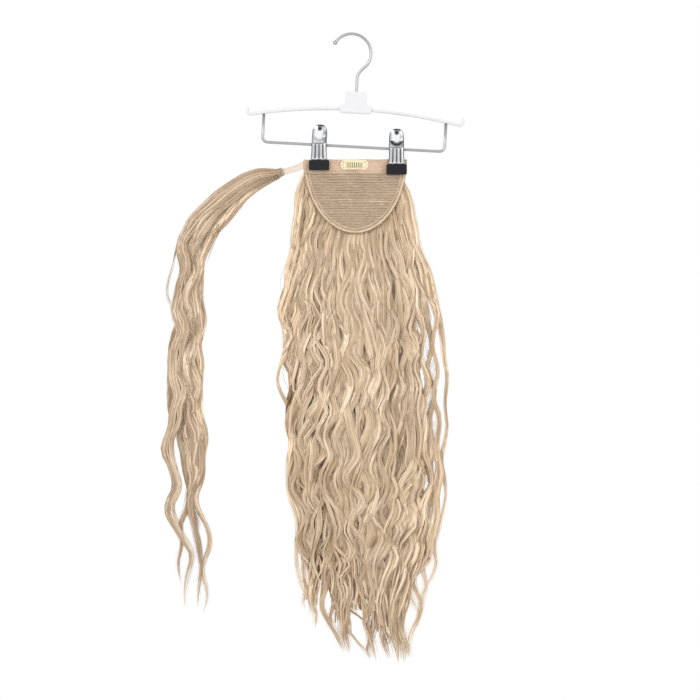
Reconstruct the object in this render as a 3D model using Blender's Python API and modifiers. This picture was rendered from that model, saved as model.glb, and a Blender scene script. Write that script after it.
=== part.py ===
"""A wrap-round ponytail hairpiece, hung by its cap from a clip hanger.

Run it with blender --background --python part.py, or from Blender's text editor.
Units are metres and +Z is up. The cap's inner side, with the comb, faces -Y.
The origin is the top of the inside of the hanger's hook, where a rail carries it.
"""

from math import asin, ceil, cos, pi, radians, sin, sqrt

import bmesh
import bpy
from mathutils import Matrix, Vector

# Clearance between pieces that touch on the real object.
GAP = 0.0003

# Hanger, in its own upright frame. It hangs a little askew about the hook.
HANGER_TILT = radians(3.1)
HOOK_WIRE_RADIUS = 0.0017
HOOK_RADIUS = 0.0224
HOOK_TIP_ANGLE = radians(157)
HOOK_END_ANGLE = radians(-38)
HOOK_TIP_BEAD = 1.5
HANGER_CENTRE_X = 0.0080
PLATE_TOP_Z = -0.0650
BAR_CROWN_Z = -0.0848
BAR_HALF_SPAN = 0.1200
BAR_DROP = 0.0119
BAR_RADIUS = 0.0020
BAR_END_RISE = 0.0080
PLATE_WIDTH = 0.0250
PLATE_FOOT_WIDTH = 0.0370
PLATE_FOOT_HEIGHT = 0.0095
PLATE_THICKNESS = 0.0080
RAIL_RADIUS = 0.0017
RAIL_Z = -0.1280
RAIL_HALF_SPAN = 0.1048
RAIL_CORNER = 0.0060

# Clips. Each is two pressed steel jaws on a barrel that the rail runs through.
LEFT_CLIP_OFFSET = -0.0396
RIGHT_CLIP_OFFSET = 0.0496
CLIP_TOP = 0.0240
CLIP_HALF_WIDTH = 0.0082
JAW_HALF_WIDTH = 0.0096
JAW_SHEET = 0.0009
JAW_FLUTES = 3
JAW_FLUTE_DEPTH = 0.0006
JAW_HOLE_RADIUS = 0.0012
JAW_HOLE_Z = 0.0195
PAD_WIDTH = 0.0234
PAD_HEIGHT = 0.0112
PAD_THICKNESS = 0.0044
PAD_TOP = -0.0178
PAD_SLOT_DEPTH = 0.0085
BARREL_RADIUS = 0.0057
BARREL_HALF_LENGTH = 0.0077

# Cap: a half ellipse hung from its straight top edge.
CAP_X = 0.0032
CAP_TOP_Z = -0.1428
CAP_HALF_WIDTH = 0.0595
CAP_DEPTH = 0.0850
CAP_CUP = 0.0035
BAND_HEIGHT = 0.0161
BAND_THICKNESS = 0.0020
BINDING_WIDTH = 0.0062
BINDING_STATIONS = 24
PANEL_THICKNESS = 0.0014
RIB_PITCH = 0.0030
RIB_RELIEF = 0.0003

# Snap comb on the band: a standard 32 mm clip.
COMB_X = 0.0023
COMB_TOP_Z = -0.1434
FRAME_WIDTH = 0.0320
FRAME_HEIGHT = 0.0112
FRAME_SHEET = 0.0006
FRAME_WINDOW = (0.0178, 0.0056)
SEWING_HOLE_RADIUS = 0.0008
COMB_SHEET = 0.0007
COMB_BAR_WIDTH = 0.0200
COMB_BAR_HEIGHT = 0.0026
COMB_HEIGHT = 0.0112
COMB_TEETH = 10
TOOTH_WIDTH = 0.0010

# Wrap: a short strap from the band's left end, and the strand sewn on it.
STRAP_WIDTH = 0.0080
STRAP_THICKNESS = 0.0012
CUFF_LENGTH = 0.0070
CUFF_HALF_HEIGHT = 0.0052
CUFF_HALF_DEPTH = 0.0034
WRAP_LOCKS = 5
WRAP_LOCK_STATIONS = 21

# Fall of hair behind and below the cap.
FALL_FRONT_LOCKS = 8
FALL_BACK_LOCKS = 6
FALL_LOCK_STATIONS = 21
LOCK_SIDES_RESOLUTION = 1
LOCK_WAVELENGTH = 0.068
LOCK_TIP_RADIUS = 0.0012
CORE_SIDES = 14
CORE_END_Z = -0.600

BEIGE_SATIN = ("beige_satin", (0.80, 0.64, 0.50), 0.55, 0.0)
BEIGE_NET = ("beige_net", (0.72, 0.57, 0.43), 0.85, 0.0)
BEIGE_TAPE = ("beige_tape", (0.76, 0.60, 0.44), 0.80, 0.0)
SHEER_TAPE = ("sheer_tape", (0.93, 0.82, 0.72), 0.70, 0.0)
BLOND_HAIR = ("blond_hair", (0.72, 0.58, 0.42), 0.50, 0.0)
CREAM_METAL = ("cream_metal", (0.93, 0.87, 0.66), 0.35, 0.6)
SATIN_STEEL = ("satin_steel", (0.62, 0.62, 0.63), 0.35, 1.0)
BRIGHT_STEEL = ("bright_steel", (0.80, 0.81, 0.82), 0.12, 1.0)
WHITE_PAINT = ("white_paint", (0.90, 0.90, 0.89), 0.40, 0.0)
BLACK_RUBBER = ("black_rubber", (0.03, 0.03, 0.04), 0.60, 0.0)

# Side of a clip's jaw, from the finger tab down to the pad.
JAW_COLUMNS = ("z", "half_width", "stand_off", "crown", "flute")
JAW_ROWS = [
    (0.0240, 0.0020, 0.0112, 0.0002, 0.0),
    (0.0232, 0.0046, 0.0109, 0.0008, 0.0),
    (0.0206, 0.0070, 0.0102, 0.0016, 0.0),
    (0.0158, 0.0082, 0.0092, 0.0022, 0.0),
    (0.0080, 0.0082, 0.0078, 0.0024, 0.0),
    (0.0005, 0.0083, 0.0063, 0.0022, 0.0),
    (-0.0015, 0.0083, 0.0060, 0.0014, 1.0),
    (-0.0080, 0.0085, 0.0048, 0.0012, 1.0),
    (-0.0140, 0.0090, 0.0038, 0.0008, 1.0),
    (-0.0162, 0.0095, 0.0034, 0.0003, 0.5),
    (-0.0174, 0.0096, 0.0032, 0.0, 0.0),
    (-0.0255, 0.0096, 0.0032, 0.0, 0.0),
]

# Neck of the fall, sewn to the back of the band between the clips.
NECK_LEFT = -0.0235
NECK_RIGHT = 0.0355
NECK_COLUMNS = ("z", "front", "back")
NECK_ROWS = [
    (-0.1452, 0.0013, 0.0062),
    (-0.1580, 0.0013, 0.0115),
    (-0.1612, 0.0032, 0.0125),
]

# Outline of the fall from the front and from the side, at each height.
FALL_COLUMNS = ("z", "left", "right", "front", "back")
FALL_ROWS = [
    (-0.1640, -0.0560, 0.0620, 0.0049, 0.0130),
    (-0.1894, -0.0684, 0.0684, 0.0049, 0.0190),
    (-0.2216, -0.0719, 0.0742, 0.0049, 0.0240),
    (-0.2538, -0.0765, 0.0891, -0.0030, 0.0270),
    (-0.3021, -0.0834, 0.0983, -0.0130, 0.0290),
    (-0.3665, -0.0834, 0.1098, -0.0190, 0.0300),
    (-0.4309, -0.0788, 0.1121, -0.0200, 0.0290),
    (-0.5011, -0.0742, 0.1041, -0.0190, 0.0270),
    (-0.5735, -0.0627, 0.0972, -0.0160, 0.0240),
    (-0.6379, -0.0535, 0.0822, -0.0120, 0.0200),
    (-0.6954, -0.0201, 0.0684, -0.0070, 0.0150),
    (-0.7207, 0.0144, 0.0592, -0.0040, 0.0110),
]

# Where the locks end, across the fall from its left edge to its right one.
TIP_COLUMNS = ("share", "z")
TIP_ROWS = [
    (0.00, -0.634),
    (0.18, -0.672),
    (0.40, -0.706),
    (0.65, -0.7205),
    (0.85, -0.712),
    (1.00, -0.655),
]

# Path of the wrap strand and its half width, from the cuff to the tips.
WRAP_COLUMNS = ("x", "z", "half_width")
WRAP_ROWS = [
    (-0.0865, -0.1589, 0.0052),
    (-0.1040, -0.1652, 0.0090),
    (-0.1258, -0.1773, 0.0120),
    (-0.1455, -0.1905, 0.0138),
    (-0.1628, -0.2060, 0.0145),
    (-0.1765, -0.2230, 0.0145),
    (-0.1845, -0.2430, 0.0142),
    (-0.1880, -0.2660, 0.0142),
    (-0.1897, -0.3000, 0.0170),
    (-0.1913, -0.3500, 0.0186),
    (-0.1905, -0.4000, 0.0188),
    (-0.1885, -0.4500, 0.0200),
    (-0.1872, -0.5000, 0.0195),
    (-0.1860, -0.5500, 0.0160),
    (-0.1855, -0.6050, 0.0120),
    (-0.1850, -0.6570, 0.0085),
]


def column(rows, columns, name):
    """One named column of a table."""
    place = columns.index(name)
    return [row[place] for row in rows]


def smooth_value(inputs, outputs, at):
    """A smooth curve through (input, output) pairs, held at its ends. Inputs may rise or fall."""
    order = 1 if inputs[-1] > inputs[0] else -1
    if (at - inputs[0]) * order <= 0:
        return outputs[0]
    if (at - inputs[-1]) * order >= 0:
        return outputs[-1]
    last = len(inputs) - 1
    i = next(k for k in range(last) if (inputs[k + 1] - at) * order >= 0)
    step = inputs[i + 1] - inputs[i]
    t = (at - inputs[i]) / step

    def slope(k):
        low, high = max(k - 1, 0), min(k + 1, last)
        return (outputs[high] - outputs[low]) / (inputs[high] - inputs[low]) * step

    rise = outputs[i + 1] - outputs[i]
    bend_in, bend_out = slope(i) - rise, rise - slope(i + 1)
    eased = t * (1 - t) * ((1 - t) * bend_in + t * bend_out)
    return outputs[i] + t * rise + eased


def fall_outline(z):
    """(left, right, front, back) of the fall at a height."""
    heights = column(FALL_ROWS, FALL_COLUMNS, "z")
    sides = ("left", "right", "front", "back")
    return [smooth_value(heights, column(FALL_ROWS, FALL_COLUMNS, s), z) for s in sides]


def cap_cup(x, z):
    """How far the cap's net is pushed back from the band's plane, as it cups the head."""
    below = (CAP_TOP_Z - BAND_HEIGHT - z) / (CAP_DEPTH - BAND_HEIGHT)
    if not 0 < below < 1:
        return 0.0
    across = (x - CAP_X) / CAP_HALF_WIDTH
    return CAP_CUP * sin(pi * below) * (1 - across * across)


def material(look):
    """The Principled material for (name, colour, roughness, metallic), made once."""
    name, colour, roughness, metallic = look
    made = bpy.data.materials.get(name)
    if made is None:
        made = bpy.data.materials.new(name)
        made.use_nodes = True
        shader = made.node_tree.nodes["Principled BSDF"]
        shader.inputs["Base Color"].default_value = (*colour, 1.0)
        shader.inputs["Roughness"].default_value = roughness
        shader.inputs["Metallic"].default_value = metallic
        made.diffuse_color = (*colour, 1.0)
    return made


def new_object(name, data, look, collection, parent=None):
    """Links an object with its material to a collection."""
    obj = bpy.data.objects.new(name, data)
    collection.objects.link(obj)
    if look:
        obj.data.materials.clear()
        obj.data.materials.append(material(look))
    obj.parent = parent
    return obj


def mesh_from(name, made):
    """Turns a bmesh into mesh data with its faces pointing out."""
    bmesh.ops.recalc_face_normals(made, faces=made.faces)
    data = bpy.data.meshes.new(name)
    made.to_mesh(data)
    made.free()
    return data


def box_mesh(name, size, centre=(0, 0, 0)):
    """A box of this size about a point."""
    made = bmesh.new()
    bmesh.ops.create_cube(made, size=1.0)
    bmesh.ops.transform(made, matrix=Matrix.Diagonal((*size, 1.0)), verts=made.verts)
    bmesh.ops.translate(made, vec=centre, verts=made.verts)
    return mesh_from(name, made)


def cylinder_mesh(name, radius, length, axis, centre=(0, 0, 0), sides=16):
    """A cylinder along an axis, about a point."""
    made = bmesh.new()
    bmesh.ops.create_cone(
        made, cap_ends=True, segments=sides, radius1=radius, radius2=radius, depth=length
    )
    turn = Vector((0, 0, 1)).rotation_difference(Vector(axis)).to_matrix()
    bmesh.ops.rotate(made, cent=(0, 0, 0), matrix=turn, verts=made.verts)
    bmesh.ops.translate(made, vec=centre, verts=made.verts)
    return mesh_from(name, made)


def loft_mesh(name, rings):
    """A closed body through rings of equal size, capped at both ends."""
    made = bmesh.new()
    loops = [[made.verts.new(point) for point in ring] for ring in rings]
    size = len(rings[0])
    for lower, upper in zip(loops, loops[1:]):
        for i in range(size):
            j = (i + 1) % size
            made.faces.new((lower[i], lower[j], upper[j], upper[i]))
    made.faces.new(loops[0])
    made.faces.new(loops[-1])
    return mesh_from(name, made)


def flat_curve(name, outline, thickness, holes=()):
    """A flat outline in the XZ plane, extruded to a thickness about y = 0."""
    data = bpy.data.curves.new(name, "CURVE")
    data.dimensions = "2D"
    data.fill_mode = "BOTH"
    data.extrude = thickness / 2
    for loop in (outline, *holes):
        spline = data.splines.new("POLY")
        spline.points.add(len(loop) - 1)
        spline.use_cyclic_u = True
        for point, (x, z) in zip(spline.points, loop):
            point.co = (x, z, 0.0, 1.0)
    return data


def round_curve(name, points, radius, scales=None, resolution=2):
    """A round wire or lock along points, with its own radius scale at each."""
    data = bpy.data.curves.new(name, "CURVE")
    data.dimensions = "3D"
    data.bevel_depth = radius
    data.bevel_resolution = resolution
    data.use_fill_caps = True
    data.twist_mode = "MINIMUM"
    spline = data.splines.new("POLY")
    spline.points.add(len(points) - 1)
    for i, point in enumerate(points):
        spline.points[i].co = (*point, 1.0)
        spline.points[i].radius = scales[i] if scales else 1.0
    return data


def as_mesh(obj):
    """Replaces a curve object by a mesh object of the same shape, with welded caps."""
    graph = bpy.context.evaluated_depsgraph_get()
    data = bpy.data.meshes.new_from_object(obj.evaluated_get(graph))
    made = bmesh.new()
    made.from_mesh(data)
    bmesh.ops.remove_doubles(made, verts=made.verts, dist=1e-6)
    bmesh.ops.recalc_face_normals(made, faces=made.faces)
    made.to_mesh(data)
    made.free()
    name, parent, place = obj.name, obj.parent, obj.matrix_world.copy()
    homes = list(obj.users_collection)
    bpy.data.objects.remove(obj)
    solid = bpy.data.objects.new(name, data)
    for home in homes:
        home.objects.link(solid)
    solid.parent = parent
    solid.matrix_world = place
    return solid


def cut(obj, cutter_data, cutters, place=None):
    """Takes a cutter's shape out of an object."""
    cutter = new_object(obj.name + "_cutter", cutter_data, None, cutters, obj.parent)
    if place is None:
        cutter.location = obj.location
        cutter.rotation_euler = obj.rotation_euler
    else:
        cutter.location = place
    cutter.hide_render = True
    cutter.display_type = "WIRE"
    modifier = obj.modifiers.new("cut", "BOOLEAN")
    modifier.operation = "DIFFERENCE"
    modifier.object = cutter
    return cutter


def round_edges(obj, width, segments=2):
    """Rounds an object's sharp edges."""
    modifier = obj.modifiers.new("round", "BEVEL")
    modifier.width = width
    modifier.segments = segments
    modifier.limit_method = "ANGLE"
    modifier.angle_limit = radians(50)


def fuse(name, base, others, look, collection):
    """Joins overlapping solids into one body by Boolean unions, and removes them."""
    holder = bpy.data.collections.new(name + "_pieces")
    for other in others:
        for home in list(other.users_collection):
            home.objects.unlink(other)
        holder.objects.link(other)
    union = base.modifiers.new("union", "BOOLEAN")
    union.operation = "UNION"
    union.operand_type = "COLLECTION"
    union.collection = holder
    union.solver = "EXACT"
    graph = bpy.context.evaluated_depsgraph_get()
    data = bpy.data.meshes.new_from_object(base.evaluated_get(graph))
    data.name = name
    for piece in [base, *others]:
        bpy.data.objects.remove(piece)
    bpy.data.collections.remove(holder)
    return new_object(name, data, look, collection)


def bar_height(offset):
    """Height of the arched bar's centre line at an offset from the hanger's middle."""
    bend = (BAR_HALF_SPAN**2 + BAR_DROP**2) / (2 * BAR_DROP)
    return BAR_CROWN_Z - bend + sqrt(bend**2 - offset**2)


def hook_points():
    """Centre line of the hook: an arc from the tip over the rail, then down to the plate."""
    centre_z = HOOK_WIRE_RADIUS - HOOK_RADIUS
    count = 20
    span = HOOK_END_ANGLE - HOOK_TIP_ANGLE
    angles = [HOOK_TIP_ANGLE + span * i / count for i in range(count + 1)]
    arc = [Vector((HOOK_RADIUS * cos(a), 0, centre_z + HOOK_RADIUS * sin(a))) for a in angles]
    start, bend, end = arc[-1], Vector((HANGER_CENTRE_X, 0, -0.0425)), Vector(
        (HANGER_CENTRE_X, 0, PLATE_TOP_Z - 0.006)
    )
    low = bend + Vector((0, 0, -0.006))
    turn = 6
    curve = []
    for i in range(1, turn + 1):
        t = i / turn
        curve.append(start * (1 - t) ** 2 + bend * 2 * t * (1 - t) + low * t * t)
    return arc + curve + [end]


def build_hook(parts, frame):
    """Wire hook with a small bead on its tip."""
    points = hook_points()
    bead_profile = (1.0, 1.4, HOOK_TIP_BEAD, 1.4, 1.05)
    scales = list(bead_profile) + [1.0] * (len(points) - 1)
    first, second = points[0], points[1]
    step = (second - first) / len(bead_profile)
    points = [first + step * i for i in range(len(bead_profile))] + points[1:]
    curve = round_curve("hanger_hook", points, HOOK_WIRE_RADIUS, scales)
    new_object("hanger_hook", curve, SATIN_STEEL, parts, frame)


def build_bar(parts, frame):
    """Arched bar with its two ends turned up."""
    count = 18
    offsets = [BAR_HALF_SPAN * (2 * i / count - 1) for i in range(count + 1)]
    middle = [Vector((HANGER_CENTRE_X + o, 0, bar_height(o))) for o in offsets]
    corner = 0.0040
    turned = []
    for side in (-1, 1):
        x = HANGER_CENTRE_X + side * BAR_HALF_SPAN
        z = bar_height(BAR_HALF_SPAN)
        rows = [(corner * sin(a), corner * (1 - cos(a))) for a in (pi / 6, pi / 3, pi / 2)]
        end = [Vector((x + side * dx, 0, z + dz)) for dx, dz in rows]
        end.append(Vector((x + side * corner, 0, z + BAR_END_RISE)))
        turned.append(end)
    points = turned[0][::-1] + middle + turned[1]
    new_object("hanger_bar", round_curve("hanger_bar", points, BAR_RADIUS), WHITE_PAINT, parts, frame)


def build_plate(parts, cutters, frame):
    """Bare plate that joins the hook to the bar. The bar runs through its foot."""
    half, foot = PLATE_WIDTH / 2, PLATE_FOOT_WIDTH / 2
    foot_z = BAR_CROWN_Z - PLATE_FOOT_HEIGHT / 2
    shoulder_z = BAR_CROWN_Z + PLATE_FOOT_HEIGHT / 2
    outline = [
        (-half, PLATE_TOP_Z),
        (-half, shoulder_z + 0.002),
        (-foot, shoulder_z - 0.001),
        (-foot, foot_z),
        (foot, foot_z),
        (foot, shoulder_z - 0.001),
        (half, shoulder_z + 0.002),
        (half, PLATE_TOP_Z),
    ]
    data = flat_curve("hanger_plate", outline, PLATE_THICKNESS)
    curve = new_object("hanger_plate", data, WHITE_PAINT, parts, frame)
    curve.location = (HANGER_CENTRE_X, 0, 0)
    curve.rotation_euler = (pi / 2, 0, 0)
    bpy.context.view_layer.update()
    plate = as_mesh(curve)
    slot_size = (2 * foot + 0.01, 2 * (BAR_RADIUS + GAP), 2 * (BAR_RADIUS + 2 * GAP))
    slot = box_mesh("slot", slot_size, (HANGER_CENTRE_X, 0, BAR_CROWN_Z))
    cut(plate, slot, cutters, (0, 0, 0)).rotation_euler = (0, 0, 0)
    socket_length = 0.013
    socket_centre = (HANGER_CENTRE_X, 0, PLATE_TOP_Z)
    socket = cylinder_mesh("socket", HOOK_WIRE_RADIUS + GAP, socket_length, (0, 0, 1), socket_centre)
    cut(plate, socket, cutters, (0, 0, 0)).rotation_euler = (0, 0, 0)
    round_edges(plate, 0.0008, 1)


def build_rail(parts, frame):
    """Square-cornered wire under the bar, which the clips slide on."""
    top = bar_height(RAIL_HALF_SPAN) - BAR_RADIUS - 2 * GAP
    left, right = HANGER_CENTRE_X - RAIL_HALF_SPAN, HANGER_CENTRE_X + RAIL_HALF_SPAN
    corner = RAIL_CORNER
    points = [Vector((left, 0, top))]
    steps = 6
    for centre_x, start in ((left + corner, pi), (right - corner, 1.5 * pi)):
        for i in range(steps + 1):
            angle = start + pi / 2 * i / steps
            z = RAIL_Z + corner + corner * sin(angle)
            points.append(Vector((centre_x + corner * cos(angle), 0, z)))
    points.append(Vector((right, 0, top)))
    new_object("hanger_rail", round_curve("hanger_rail", points, RAIL_RADIUS), SATIN_STEEL, parts, frame)


def jaw_mesh():
    """Half of a clip: a pressed sheet, smooth above the rail and fluted below it."""
    across = 2 * JAW_FLUTES + 1
    made = bmesh.new()
    grid = []
    for row in JAW_ROWS:
        z, half_width, stand_off, crown, flute = (row[JAW_COLUMNS.index(c)] for c in JAW_COLUMNS)
        line = []
        for i in range(across):
            share = 2 * i / (across - 1) - 1
            ridge = JAW_FLUTE_DEPTH * flute * (i % 2)
            y = stand_off + crown * (1 - share * share) + ridge
            line.append(made.verts.new((half_width * share, -y, z)))
        grid.append(line)
    for lower, upper in zip(grid, grid[1:]):
        for i in range(across - 1):
            made.faces.new((lower[i], lower[i + 1], upper[i + 1], upper[i]))
    return mesh_from("jaw", made)


def build_clip(side, offset, parts, cutters, frame):
    """One clip: two jaws, their rubber pads, and the barrel on the rail."""
    rail_place = frame.matrix_world @ Vector((HANGER_CENTRE_X + offset, 0, RAIL_Z))
    holder = bpy.data.objects.new(f"clip_{side}", None)
    parts.objects.link(holder)
    holder.location = rail_place
    bpy.context.view_layer.update()
    barrel_data = cylinder_mesh("barrel", BARREL_RADIUS, 2 * BARREL_HALF_LENGTH, (1, 0, 0))
    barrel = new_object(f"clip_{side}_barrel", barrel_data, SATIN_STEEL, parts, holder)
    barrel.rotation_euler = (0, HANGER_TILT, 0)
    bore = cylinder_mesh("bore", RAIL_RADIUS + GAP, 3 * BARREL_HALF_LENGTH, (1, 0, 0))
    cut(barrel, bore, cutters)
    for face, turn in (("front", 0.0), ("back", pi)):
        jaw = new_object(f"clip_{side}_{face}_jaw", jaw_mesh(), BRIGHT_STEEL, parts, holder)
        jaw.rotation_euler = (0, 0, turn)
        sheet = jaw.modifiers.new("sheet", "SOLIDIFY")
        sheet.thickness = JAW_SHEET
        sheet.offset = 0.0
        hole = cylinder_mesh("hole", JAW_HOLE_RADIUS, 0.02, (0, 1, 0), (0, -0.012, JAW_HOLE_Z), 8)
        cut(jaw, hole, cutters)
        pad_y = -(BAND_THICKNESS / 2 + GAP + PAD_THICKNESS / 2)
        pad_centre = (0, pad_y, PAD_TOP - PAD_HEIGHT / 2)
        pad_data = box_mesh("pad", (PAD_WIDTH, PAD_THICKNESS, PAD_HEIGHT), pad_centre)
        pad = new_object(f"clip_{side}_{face}_pad", pad_data, BLACK_RUBBER, parts, holder)
        pad.rotation_euler = (0, 0, turn)
        round_edges(pad, 0.0008, 1)
        inserted_y = -JAW_ROWS[-1][JAW_COLUMNS.index("stand_off")]
        slot_size = (2 * (JAW_HALF_WIDTH + GAP), JAW_SHEET + 2 * GAP, 2 * PAD_SLOT_DEPTH)
        cut(pad, box_mesh("slot", slot_size, (0, inserted_y, PAD_TOP)), cutters)


def build_hanger(parts, cutters):
    """The plain clip hanger that holds the hairpiece."""
    frame = bpy.data.objects.new("hanger_frame", None)
    parts.objects.link(frame)
    frame.rotation_euler = (0, HANGER_TILT, 0)
    bpy.context.view_layer.update()
    build_hook(parts, frame)
    build_bar(parts, frame)
    build_plate(parts, cutters, frame)
    build_rail(parts, frame)
    build_clip("left", LEFT_CLIP_OFFSET, parts, cutters, frame)
    build_clip("right", RIGHT_CLIP_OFFSET, parts, cutters, frame)


def build_band(parts):
    """Straight satin band across the top of the cap."""
    size = (2 * CAP_HALF_WIDTH, BAND_THICKNESS, BAND_HEIGHT)
    centre = (CAP_X, 0, CAP_TOP_Z - BAND_HEIGHT / 2)
    band = new_object("top_band", box_mesh("top_band", size, centre), BEIGE_SATIN, parts)
    round_edges(band, 0.0006)


def build_panel(parts):
    """Ribbed net of wefts inside the binding, cupped a little towards the hair."""
    inset = BINDING_WIDTH + 0.0005
    half_width, depth = CAP_HALF_WIDTH - inset, CAP_DEPTH - inset
    top = BAND_HEIGHT + 2 * GAP
    rows = 2 * ceil((depth - top) / RIB_PITCH)
    columns = 4
    made = bmesh.new()
    grid = []
    for i in range(rows):
        drop = top + (depth - top) * i / rows
        reach = half_width * sqrt(1 - (drop / depth) ** 2)
        relief = RIB_RELIEF * (1 if i % 2 else -1)
        line = []
        for k in range(columns + 1):
            x = CAP_X + reach * (2 * k / columns - 1)
            z = CAP_TOP_Z - drop
            line.append(made.verts.new((x, cap_cup(x, z) + relief, z)))
        grid.append(line)
    for lower, upper in zip(grid, grid[1:]):
        for k in range(columns):
            made.faces.new((lower[k], lower[k + 1], upper[k + 1], upper[k]))
    panel = new_object("net_panel", mesh_from("net_panel", made), BEIGE_NET, parts)
    sheet = panel.modifiers.new("sheet", "SOLIDIFY")
    sheet.thickness = PANEL_THICKNESS
    sheet.offset = 0.0


def build_binding(parts):
    """Bias tape folded round the cap's curved edge, with a stitched groove along it."""
    half_thickness = ((0.0, 0.0009), (0.22, 0.0014), (0.5, 0.0010), (0.78, 0.0014), (1.0, 0.0009))
    top = BAND_HEIGHT + GAP
    edges = []
    for inset in (BINDING_WIDTH, 0.0):
        depth = CAP_DEPTH - inset
        edges.append((CAP_HALF_WIDTH - inset, depth, asin(top / depth)))
    rings = []
    for i in range(BINDING_STATIONS + 1):
        sweep = 2 * i / BINDING_STATIONS - 1
        points = []
        for half_width, depth, start in edges:
            angle = start + (pi / 2 - start) * (1 - abs(sweep))
            side = 1 if sweep > 0 else -1
            points.append(Vector((CAP_X + side * half_width * cos(angle), 0, CAP_TOP_Z - depth * sin(angle))))
        inner, outer = points
        front, back = [], []
        for share, thick in half_thickness:
            place = inner.lerp(outer, share)
            cup = cap_cup(place.x, place.z)
            front.append(place + Vector((0, cup - thick, 0)))
            back.append(place + Vector((0, cup + thick, 0)))
        rings.append(front + back[::-1])
    new_object("edge_binding", loft_mesh("edge_binding", rings), BEIGE_TAPE, parts)


def comb_loops():
    """Outlines of the comb's frame and its holes, about the middle of the frame."""
    end = FRAME_HEIGHT / 2
    straight = FRAME_WIDTH / 2 - end
    steps = 8
    outline = []
    for side, start in ((1, -pi / 2), (-1, pi / 2)):
        for i in range(steps + 1):
            angle = start + pi * i / steps
            outline.append((side * straight + end * cos(angle), end * sin(angle)))
    wide, high = FRAME_WINDOW
    window = [(-wide / 2, -high / 2), (wide / 2, -high / 2), (wide / 2, high / 2), (-wide / 2, high / 2)]
    holes = [window]
    reach = 0.0036
    for side in (-1, 1):
        for angle in (-pi / 3.2, 0.0, pi / 3.2):
            x = side * (straight + reach * cos(angle))
            z = reach * sin(angle)
            ring = [pi * k / 3 for k in range(6)]
            radius = SEWING_HOLE_RADIUS
            holes.append([(x + radius * cos(a), z + radius * sin(a)) for a in ring])
    return outline, holes


def build_comb(parts):
    """Snap comb on the inside of the band: a sewn frame, and a toothed bar that tips out of it."""
    outline, holes = comb_loops()
    frame_y = -(BAND_THICKNESS / 2 + GAP + FRAME_SHEET / 2)
    data = flat_curve("comb_frame", outline, FRAME_SHEET, holes)
    comb_frame = new_object("comb_frame", data, CREAM_METAL, parts)
    comb_frame.location = (COMB_X, frame_y, COMB_TOP_Z - FRAME_HEIGHT / 2)
    comb_frame.rotation_euler = (pi / 2, 0, 0)

    bar_half = COMB_BAR_WIDTH / 2
    pitch = (COMB_BAR_WIDTH - TOOTH_WIDTH) / (COMB_TEETH - 1)
    teeth = []
    for i in range(COMB_TEETH):
        left = -bar_half + pitch * i
        right = left + TOOTH_WIDTH
        tip = -COMB_HEIGHT
        nose = TOOTH_WIDTH / 2
        teeth += [(left, -COMB_BAR_HEIGHT), (left, tip + nose), (left + 0.3 * TOOTH_WIDTH, tip)]
        teeth += [(right - 0.3 * TOOTH_WIDTH, tip), (right, tip + nose), (right, -COMB_BAR_HEIGHT)]
    outline = [(-bar_half, 0.0), *teeth, (bar_half, 0.0)]
    data = flat_curve("comb_teeth", outline, COMB_SHEET)
    comb_teeth = new_object("comb_teeth", data, CREAM_METAL, parts, None)
    hinge = bpy.data.objects.new("comb_hinge", None)
    parts.objects.link(hinge)
    hinge.location = (COMB_X, frame_y - FRAME_SHEET / 2 - GAP, COMB_TOP_Z - 0.0006)
    comb_teeth.parent = hinge
    comb_teeth.location = (0, -COMB_SHEET / 2, 0)
    comb_teeth.rotation_euler = (pi / 2, 0, 0)


def strap_ring(at, across, thickness, width):
    """Flat section of the strap about a point, across its length."""
    corners = ((-1, -1), (1, -1), (1, 1), (-1, 1))
    half_width, half_thick = width / 2, thickness / 2
    return [at + across * (half_width * u) + Vector((0, half_thick * v, 0)) for u, v in corners]


def build_strap_and_cuff(parts):
    """Strap from the band's left end, and the bound head of the wrap strand on it."""
    start = Vector((CAP_X - CAP_HALF_WIDTH - GAP, 0, CAP_TOP_Z - 0.0056))
    wrap_start = Vector((WRAP_ROWS[0][0], 0, WRAP_ROWS[0][1]))
    heading = (wrap_start - start).normalized()
    cuff_start = wrap_start - heading * (CUFF_LENGTH + GAP)
    end = cuff_start - heading * GAP
    sag = 0.0012
    stations = 7
    rings = []
    for i in range(stations):
        t = i / (stations - 1)
        at = start.lerp(end, t) - Vector((0, 0, sag * 4 * t * (1 - t)))
        across = Vector((0, 0, 1)) if i == 0 else Vector((-heading.z, 0, heading.x))
        rings.append(strap_ring(at, across, STRAP_THICKNESS, STRAP_WIDTH * (1 - 0.1 * sin(pi * t))))
    new_object("wrap_strap", loft_mesh("wrap_strap", rings), SHEER_TAPE, parts)

    sides = 12
    rings = []
    up = Vector((-heading.z, 0, heading.x))
    for share, scale in ((0.0, 0.82), (0.15, 0.97), (0.85, 1.0), (1.0, 0.95)):
        at = cuff_start + heading * (CUFF_LENGTH * share)
        ring = []
        for k in range(sides):
            angle = 2 * pi * k / sides
            high = up * (CUFF_HALF_HEIGHT * scale * cos(angle))
            ring.append(at + high + Vector((0, CUFF_HALF_DEPTH * scale * sin(angle), 0)))
        rings.append(ring)
    new_object("wrap_cuff", loft_mesh("wrap_cuff", rings), BLOND_HAIR, parts)


def wrap_place(share):
    """(point, unit vector across, half width) along the wrap strand, by share of its rows."""
    last = len(WRAP_ROWS) - 1
    order = list(range(last + 1))
    at = share * last
    x, z, half = (smooth_value(order, column(WRAP_ROWS, WRAP_COLUMNS, c), at) for c in WRAP_COLUMNS)
    ahead, behind = min(at + 0.3, last), max(at - 0.3, 0)
    xs, zs = column(WRAP_ROWS, WRAP_COLUMNS, "x"), column(WRAP_ROWS, WRAP_COLUMNS, "z")
    along = Vector(
        (
            smooth_value(order, xs, ahead) - smooth_value(order, xs, behind),
            0,
            smooth_value(order, zs, ahead) - smooth_value(order, zs, behind),
        )
    ).normalized()
    return Vector((x, 0, z)), Vector((along.z, 0, -along.x)), half


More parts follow.
